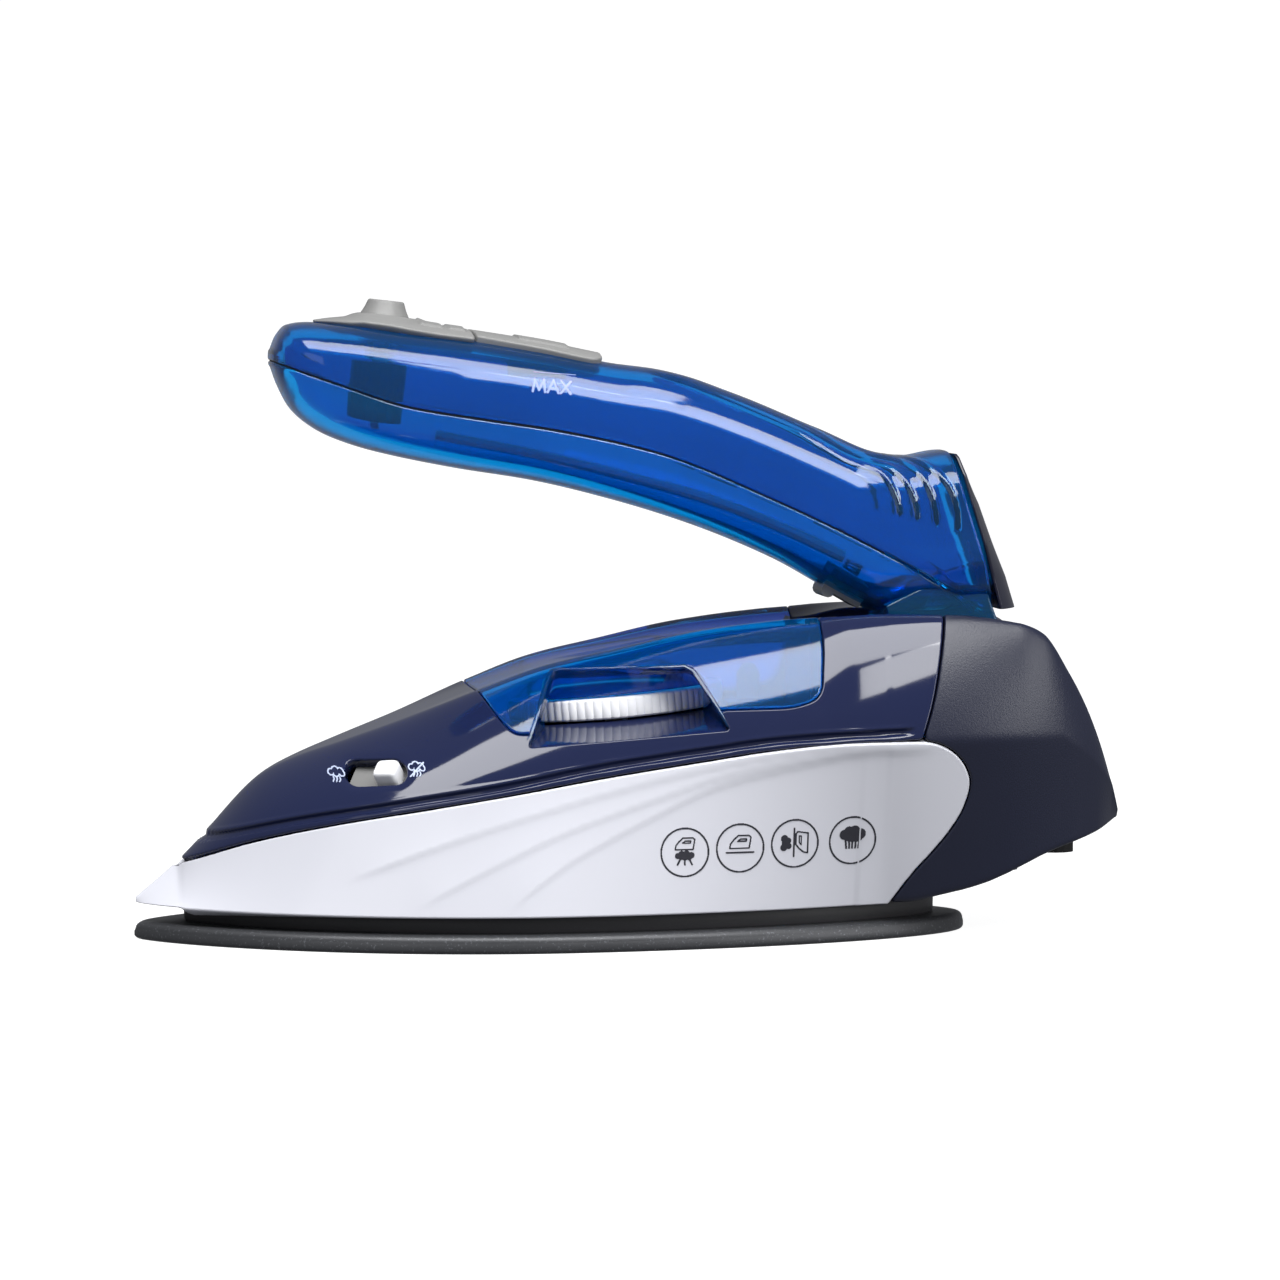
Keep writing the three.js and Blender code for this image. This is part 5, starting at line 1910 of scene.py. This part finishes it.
@dataclass
class Prints:
    """Thin layers of ink on the skirt, beside the slot and on the tank."""

    shop: Workshop
    housing: Housing
    handle: HandleForm
    ring: float = 4.85
    ring_width: float = 0.32
    line: float = 0.26
    proud: float = 0.07
    deep: float = 0.09
    steam_marks: tuple = (("on", (39.8, 34.6), False), ("off", (55.2, 36.2), True))
    spots: tuple = ((108.3, 19.7), (119.7, 20.3), (131.1, 20.9), (143.3, 21.1))

    @staticmethod
    def _stroke(u: Array, v: Array, points: Sequence[tuple], width: float) -> Array:
        """Ink along a line through points."""
        return width / 2 - line_distance(np.array(points, float), u, v)[0]

    @staticmethod
    def _blobs(u: Array, v: Array, circles: Sequence[tuple]) -> Array:
        """Ink inside circles, each (u, v, radius)."""
        return np.max([r - np.hypot(u - a, v - b) for a, b, r in circles], axis=0)

    def _iron(self, u: Array, v: Array, at: tuple, size: float, upright: bool = False) -> Array:
        """Ink for a small iron in outline.

        Args:
            u: Across the symbol.
            v: Up it.
            at: The symbol's middle.
            size: Its length.
            upright: Whether it stands on its heel.

        Returns:
            The ink's field.
        """
        a, b = (u - at[0]) / size, (v - at[1]) / size
        if upright:
            a, b = b, -a
        outer = [
            (-0.5, -0.28), (0.42, -0.28), (0.5, 0.22), (0.4, 0.3), (-0.1, 0.3), (-0.3, 0.12), (-0.46, -0.08),
            (-0.5, -0.28),
        ]
        grip = [(-0.12, 0.04), (0.28, 0.04), (0.3, 0.14), (0.0, 0.14), (-0.12, 0.04)]
        width = self.line / size
        return size * np.maximum(self._stroke(a, b, outer, width), self._stroke(a, b, grip, width * 0.9))

    def _symbol(self, kind: Symbols, u: Array, v: Array) -> Array:
        """Ink for one round symbol.

        Args:
            kind: Which symbol.
            u: Across it from its middle.
            v: Up it.

        Returns:
            The ink's field.
        """
        ring = self.ring_width / 2 - np.abs(np.hypot(u, v) - self.ring)
        cloud = [
            (-1.3, 0, 0.75), (-0.6, 0.45, 0.8), (0.3, 0.5, 0.85), (1.2, 0.1, 0.8), (0, -0.25, 0.9),
            (-0.7, -0.3, 0.7), (0.8, -0.35, 0.75),
        ]
        if kind is Symbols.BURST:
            puff = [(a * 1.1, b * 0.8, r * 0.8) for a, b, r in cloud]
            inks = [self._iron(u, v, (0, 1.7), 4.0), self._blobs(u, v + 0.7, puff)]
            lines = [[(tilt * 0.9, -1.3), (tilt * 1.5, -2.5)] for tilt in (-1, 0, 1)]
            width = 0.34
        elif kind is Symbols.DRY:
            inks = [self._iron(u, v, (0, 1.2), 4.4)]
            lines, width = [[(-2.8, -0.9), (2.8, -0.9)]], 0.34
        elif kind is Symbols.UPRIGHT:
            puff = [
                (-2.2, 1.0, 0.75), (-1.9, 0.1, 0.85), (-2.3, -0.8, 0.7), (-1.4, 0.6, 0.6), (-1.3, -0.5, 0.6),
            ]
            inks = [self._iron(u, v, (1.5, 0.2), 4.4, upright=True), self._blobs(u, v, puff)]
            lines, width = [[(-0.2, 3.1), (-0.2, -2.7)]], 0.3
        else:
            inks = [self._blobs(u * 0.74, (v - 1.2) * 0.74, cloud)]
            lines = [[(place, 0.2), (place * 0.85, -1.6)] for place in (-1.5, -0.75, 0, 0.75, 1.5)]
            width = 0.36
        return np.max([ring, *inks, *(self._stroke(u, v, line, width) for line in lines)], axis=0)

    def _steam(self, u: Array, v: Array, crossed: bool) -> Array:
        """Ink for a small cloud in outline over three wisps.

        Args:
            u: Across the symbol.
            v: Up it.
            crossed: Whether a slash runs through it.

        Returns:
            The ink's field.
        """
        cloud = [(-0.95, 0.5, 0.6), (-0.2, 0.85, 0.68), (0.75, 0.7, 0.62), (1.1, 0.3, 0.5), (0, 0.3, 0.6)]
        inks = [0.1 - np.abs(self._blobs(u, v, cloud) - 0.02)]
        for place in (-0.6, 0, 0.6):
            wisp = [(place, -0.35), (place + 0.12, -0.75), (place - 0.1, -1.2)]
            inks.append(self._stroke(u, v, wisp, 0.2))
        if crossed:
            inks.append(self._stroke(u, v, [(-1.3, -1.25), (1.4, 1.4)], 0.22))
        return np.max(inks, axis=0)

    def _level(self, u: Array, v: Array) -> Array:
        """Ink for the fill mark: three letters under a line."""
        letters = [
            [(-4.4, -1.25), (-4.1, 1.2), (-3.15, -0.9), (-2.2, 1.2), (-1.9, -1.25)],
            [(-1.35, -1.25), (-0.25, 1.2), (0.85, -1.25)],
            [(-0.95, -0.5), (0.45, -0.5)],
            [(1.35, 1.2), (3.35, -1.25)],
            [(3.35, 1.2), (1.35, -1.25)],
        ]
        ink = np.max([self._stroke(u, v, line, 0.46) for line in letters], axis=0)
        return np.maximum(ink, self._stroke(u, v, [(-4.3, 2.6), (4.3, 2.6)], 0.16))

    def layer(
        self,
        name: str,
        centre: tuple[float, float],
        size: tuple[float, float],
        skin: Field,
        ink: Field,
        body: Body,
        finish: bpy.types.Material,
        tilt: float = 0.0,
        step: float = 0.09,
    ) -> Solid:
        """Makes one thin layer of ink that follows the skin.

        Args:
            name: The piece's name.
            centre: Its middle (x, z).
            size: Half its width and height.
            skin: Turns arrays of (x, z) into the distance out from the middle plane.
            ink: Turns (u, v) about the centre into a field above zero on the ink.
            body: The body that it rides on.
            finish: Its ink.
            tilt: How far it is turned, in degrees.
            step: Distance between points.

        Returns:
            The solid, on the left side.
        """
        u, v = np.meshgrid(*(np.arange(-half, half + step, step) for half in size), indexing="ij")
        c, s = math.cos(math.radians(tilt)), math.sin(math.radians(tilt))
        x, z = centre[0] + u * c - v * s, centre[1] + u * s + v * c
        points = np.stack([x, -skin(x, z), z], -1)
        normals = grid_normals(points)
        inward = bool(normals[..., 1].mean() > 0)
        out = -normals if inward else normals
        patch = Patch(points + out * self.proud, ink(u, v), flip=inward)
        solid = patch.thickened(self.deep, roll=0.015, steps=1)
        self.shop.piece(name, solid, body, Slot.DARK, material=finish)
        return solid

    def build(self) -> None:
        """Makes every print."""
        finishes = self.shop.finishes
        hull = self.housing.form

        def skirt(x: Array, z: Array) -> Array:
            """Half the skirt's width with its long steps."""
            y = hull.side(x, z)
            return y + self.housing.waves(np.stack([x, y, z], -1))

        size = (self.ring + 0.4, self.ring + 0.4)
        for kind, spot in zip(Symbols, self.spots):
            name, ink = f"print_{kind.name.lower()}", finishes.dark_ink
            solid = self.layer(
                name + "_left", spot, size, skirt, lambda u, v, k=kind: self._symbol(k, u, v), Body.BASE, ink,
            )
            self.shop.piece(name + "_right", solid.mirrored(), Body.BASE, Slot.DARK, material=ink)
        for name, spot, crossed in self.steam_marks:
            self.layer(
                f"print_steam_{name}", spot, (2.2, 2.0), hull.side,
                lambda u, v, c=crossed: self._steam(u, v, c), Body.BASE, finishes.pale_ink, step=0.07,
            )

        def tank(x: Array, z: Array) -> Array:
            """Half the handle's width with its raised crease."""
            y = self.handle.skin(x, z)
            return y + self.handle.relief(np.stack([x, y, z], -1)) + 0.02

        self.layer(
            "print_fill_mark", (84.4, 112.4), (5.0, 3.2), tank, self._level, Body.HANDLE,
            finishes.mark_ink, tilt=-4.5,
        )


# Inner parts


@dataclass
class Springs:
    """The coil springs under the steam button and behind the release latch."""

    shop: Workshop
    wire: float = 0.4
    latch_at: tuple = (145, 70)
    latch_tilt: float = 30

    def _coil(self, radius: float, foot: float, long: float, turns: int) -> Solid:
        """A coil about z."""
        turn = np.linspace(0, 2 * math.pi * turns, turns * 36 + 1)
        rise = foot + long * turn / turn[-1]
        return tube(np.stack([radius * np.cos(turn), radius * np.sin(turn), rise], -1), self.wire, 12)

    def _fit(self, name: str, coil: Solid, place: Matrix) -> None:
        """Makes a spring piece with its own copy of the mesh.

        Args:
            name: The spring, as in pump for the pump's.
            coil: The coil about z.
            place: Its place in millimetres from the nose.
        """
        node = f"{name}_spring"
        piece = self.shop.piece(f"{name}_coil", coil.moved(place), Body.HANDLE, Slot.STEEL, [node], crease=60)
        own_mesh(piece)

    def build(self) -> None:
        """Makes both springs."""
        button, latch = tilted(BUTTON_AT, BUTTON_TILT), tilted(self.latch_at, self.latch_tilt)
        self._fit("pump", self._coil(2.9, -9, 6.6, 4), button)
        self._fit("latch", self._coil(1.6, 4.2, 2.2, 3), latch)


@dataclass
class InnerParts:
    """The nodes that keep their own shape: they get their finish and soft edges."""

    shop: Workshop
    soft: dict = field(default_factory=lambda: {
        "release_latch": 0.5, "handle_well": 0.4, "inlet_gland": 0.4, "pivot_pin": 0.3,
        "water_hose": 0.05, "heating_element": 0.05, "chamber_gasket": 0.1, "suction_tube": 0.05,
        "delivery_tube": 0.05,
    })

    def build(self, replaced: set[str]) -> None:
        """Dresses every node that no piece replaces."""
        slots = {part["node"]: part["material_slot"] for part in frame["record"]["subparts"]}
        for node in sorted(frame["nodes"]):
            if node not in replaced:
                self.shop.dress(node, Slot(slots[node]), self.soft.get(node, 0.2))


# Studio


@dataclass
class Studio:
    """A pale floor, soft boxes and the camera."""

    eye: tuple = (-0.1598, -1.2875, 0.1417)
    pitch: float = -3.6
    yaw: float = -7.2
    lens: float = 178.4
    aim: tuple = (0, 0, 0.06)
    floor: tuple = (-3, 2, 5, 5)
    boxes: tuple = (
        ("key_box", (-0.1, -0.57, 1.18), (1.4, 0.64), 27.0),
        ("cheek_box", (0.5, -0.9, 0.82), (0.5, 0.34), 5.6),
        ("fill_box", (-0.9, -1.3, 0.6), (1.0, 0.7), 2.0),
        ("side_box", (1.15, -0.8, 0.3), (0.6, 0.6), 5.4),
    )

    def build(self) -> None:
        """Makes the floor, lights, world and camera."""
        self._floor()
        for name, spot, size, power in self.boxes:
            self._box(name, Vector(spot), size, power)
        self._world()
        self._camera()

    def _floor(self) -> None:
        """A floor that curves up into a backdrop."""
        near, bend, wide, tall = self.floor
        turn = quarter_turn(14)[1:]
        profile = [(y, 0.0) for y in np.linspace(near, bend, 12)]
        profile += [(bend + math.sin(a), 1 - math.cos(a)) for a in turn]
        profile.append((bend + 1, tall))
        points = [(x, y, z) for y, z in profile for x in (-wide, wide)]
        faces = [(2 * i, 2 * i + 1, 2 * i + 3, 2 * i + 2) for i in range(len(profile) - 1)]
        mesh = bpy.data.meshes.new("studio_floor")
        mesh.from_pydata(points, [], faces)
        mesh.polygons.foreach_set("use_smooth", [True] * len(faces))
        floor = bpy.data.objects.new("studio_floor", mesh)
        bpy.context.scene.collection.objects.link(floor)
        paint = Paint("studio_white")
        paint.set(
            Base_Color=(0.25, 0.25, 0.25, 1), Roughness=0.7, Specular_IOR_Level=0.1,
            Emission_Color=(1, 1, 1, 1), Emission_Strength=0.94,
        )
        mesh.materials.append(paint.material)
        floor.visible_glossy = False
        floor.visible_diffuse = False

    def _box(self, name: str, spot: Vector, size: Sequence[float], power: float) -> None:
        """A soft box aimed at the iron.

        Args:
            name: The light's name.
            spot: Its place.
            size: Its width and height.
            power: Its power in watts.
        """
        data = bpy.data.lights.new(name, "AREA")
        data.shape = "RECTANGLE"
        data.size, data.size_y = size
        data.energy = power
        light = bpy.data.objects.new(name, data)
        light.location = spot
        light.rotation_euler = (Vector(self.aim) - spot).to_track_quat("-Z", "Y").to_euler()
        bpy.context.scene.collection.objects.link(light)

    def _world(self) -> None:
        """An even pale surround."""
        world = bpy.data.worlds.new("studio_air")
        world.use_nodes = True
        air = world.node_tree.nodes["Background"]
        air.inputs["Color"].default_value = (0.93, 0.95, 1.0, 1)
        air.inputs["Strength"].default_value = 0.26
        bpy.context.scene.world = world

    def _camera(self) -> None:
        """The camera, a little above the sole and turned towards the nose."""
        data = bpy.data.cameras.new("camera")
        data.lens = self.lens
        data.clip_start, data.clip_end = 0.05, 50
        camera = bpy.data.objects.new("camera", data)
        camera.location = self.eye
        camera.rotation_euler = (math.radians(90 + self.pitch), 0, math.radians(self.yaw))
        bpy.context.scene.collection.objects.link(camera)
        bpy.context.scene.camera = camera
        bpy.context.scene.view_settings.view_transform = "Standard"


def main() -> None:
    """Builds every sub-assembly, then the studio."""
    logging.basicConfig(level=logging.INFO, format="%(message)s")
    shop = Workshop()
    housing, handle = Housing(shop), Handle(shop)
    housing.build()
    handle.build()
    DialPocket(shop, housing.form).build()
    Dial(shop).build()
    SlideSwitch(shop, housing.form).build()
    Sole(shop).build()
    TopTrim(shop, handle.form).build()
    Prints(shop, housing, handle.form).build()
    Springs(shop).build()
    InnerParts(shop).build(shop.replaced)
    Studio().build()


if __name__ == "__main__":
    main()
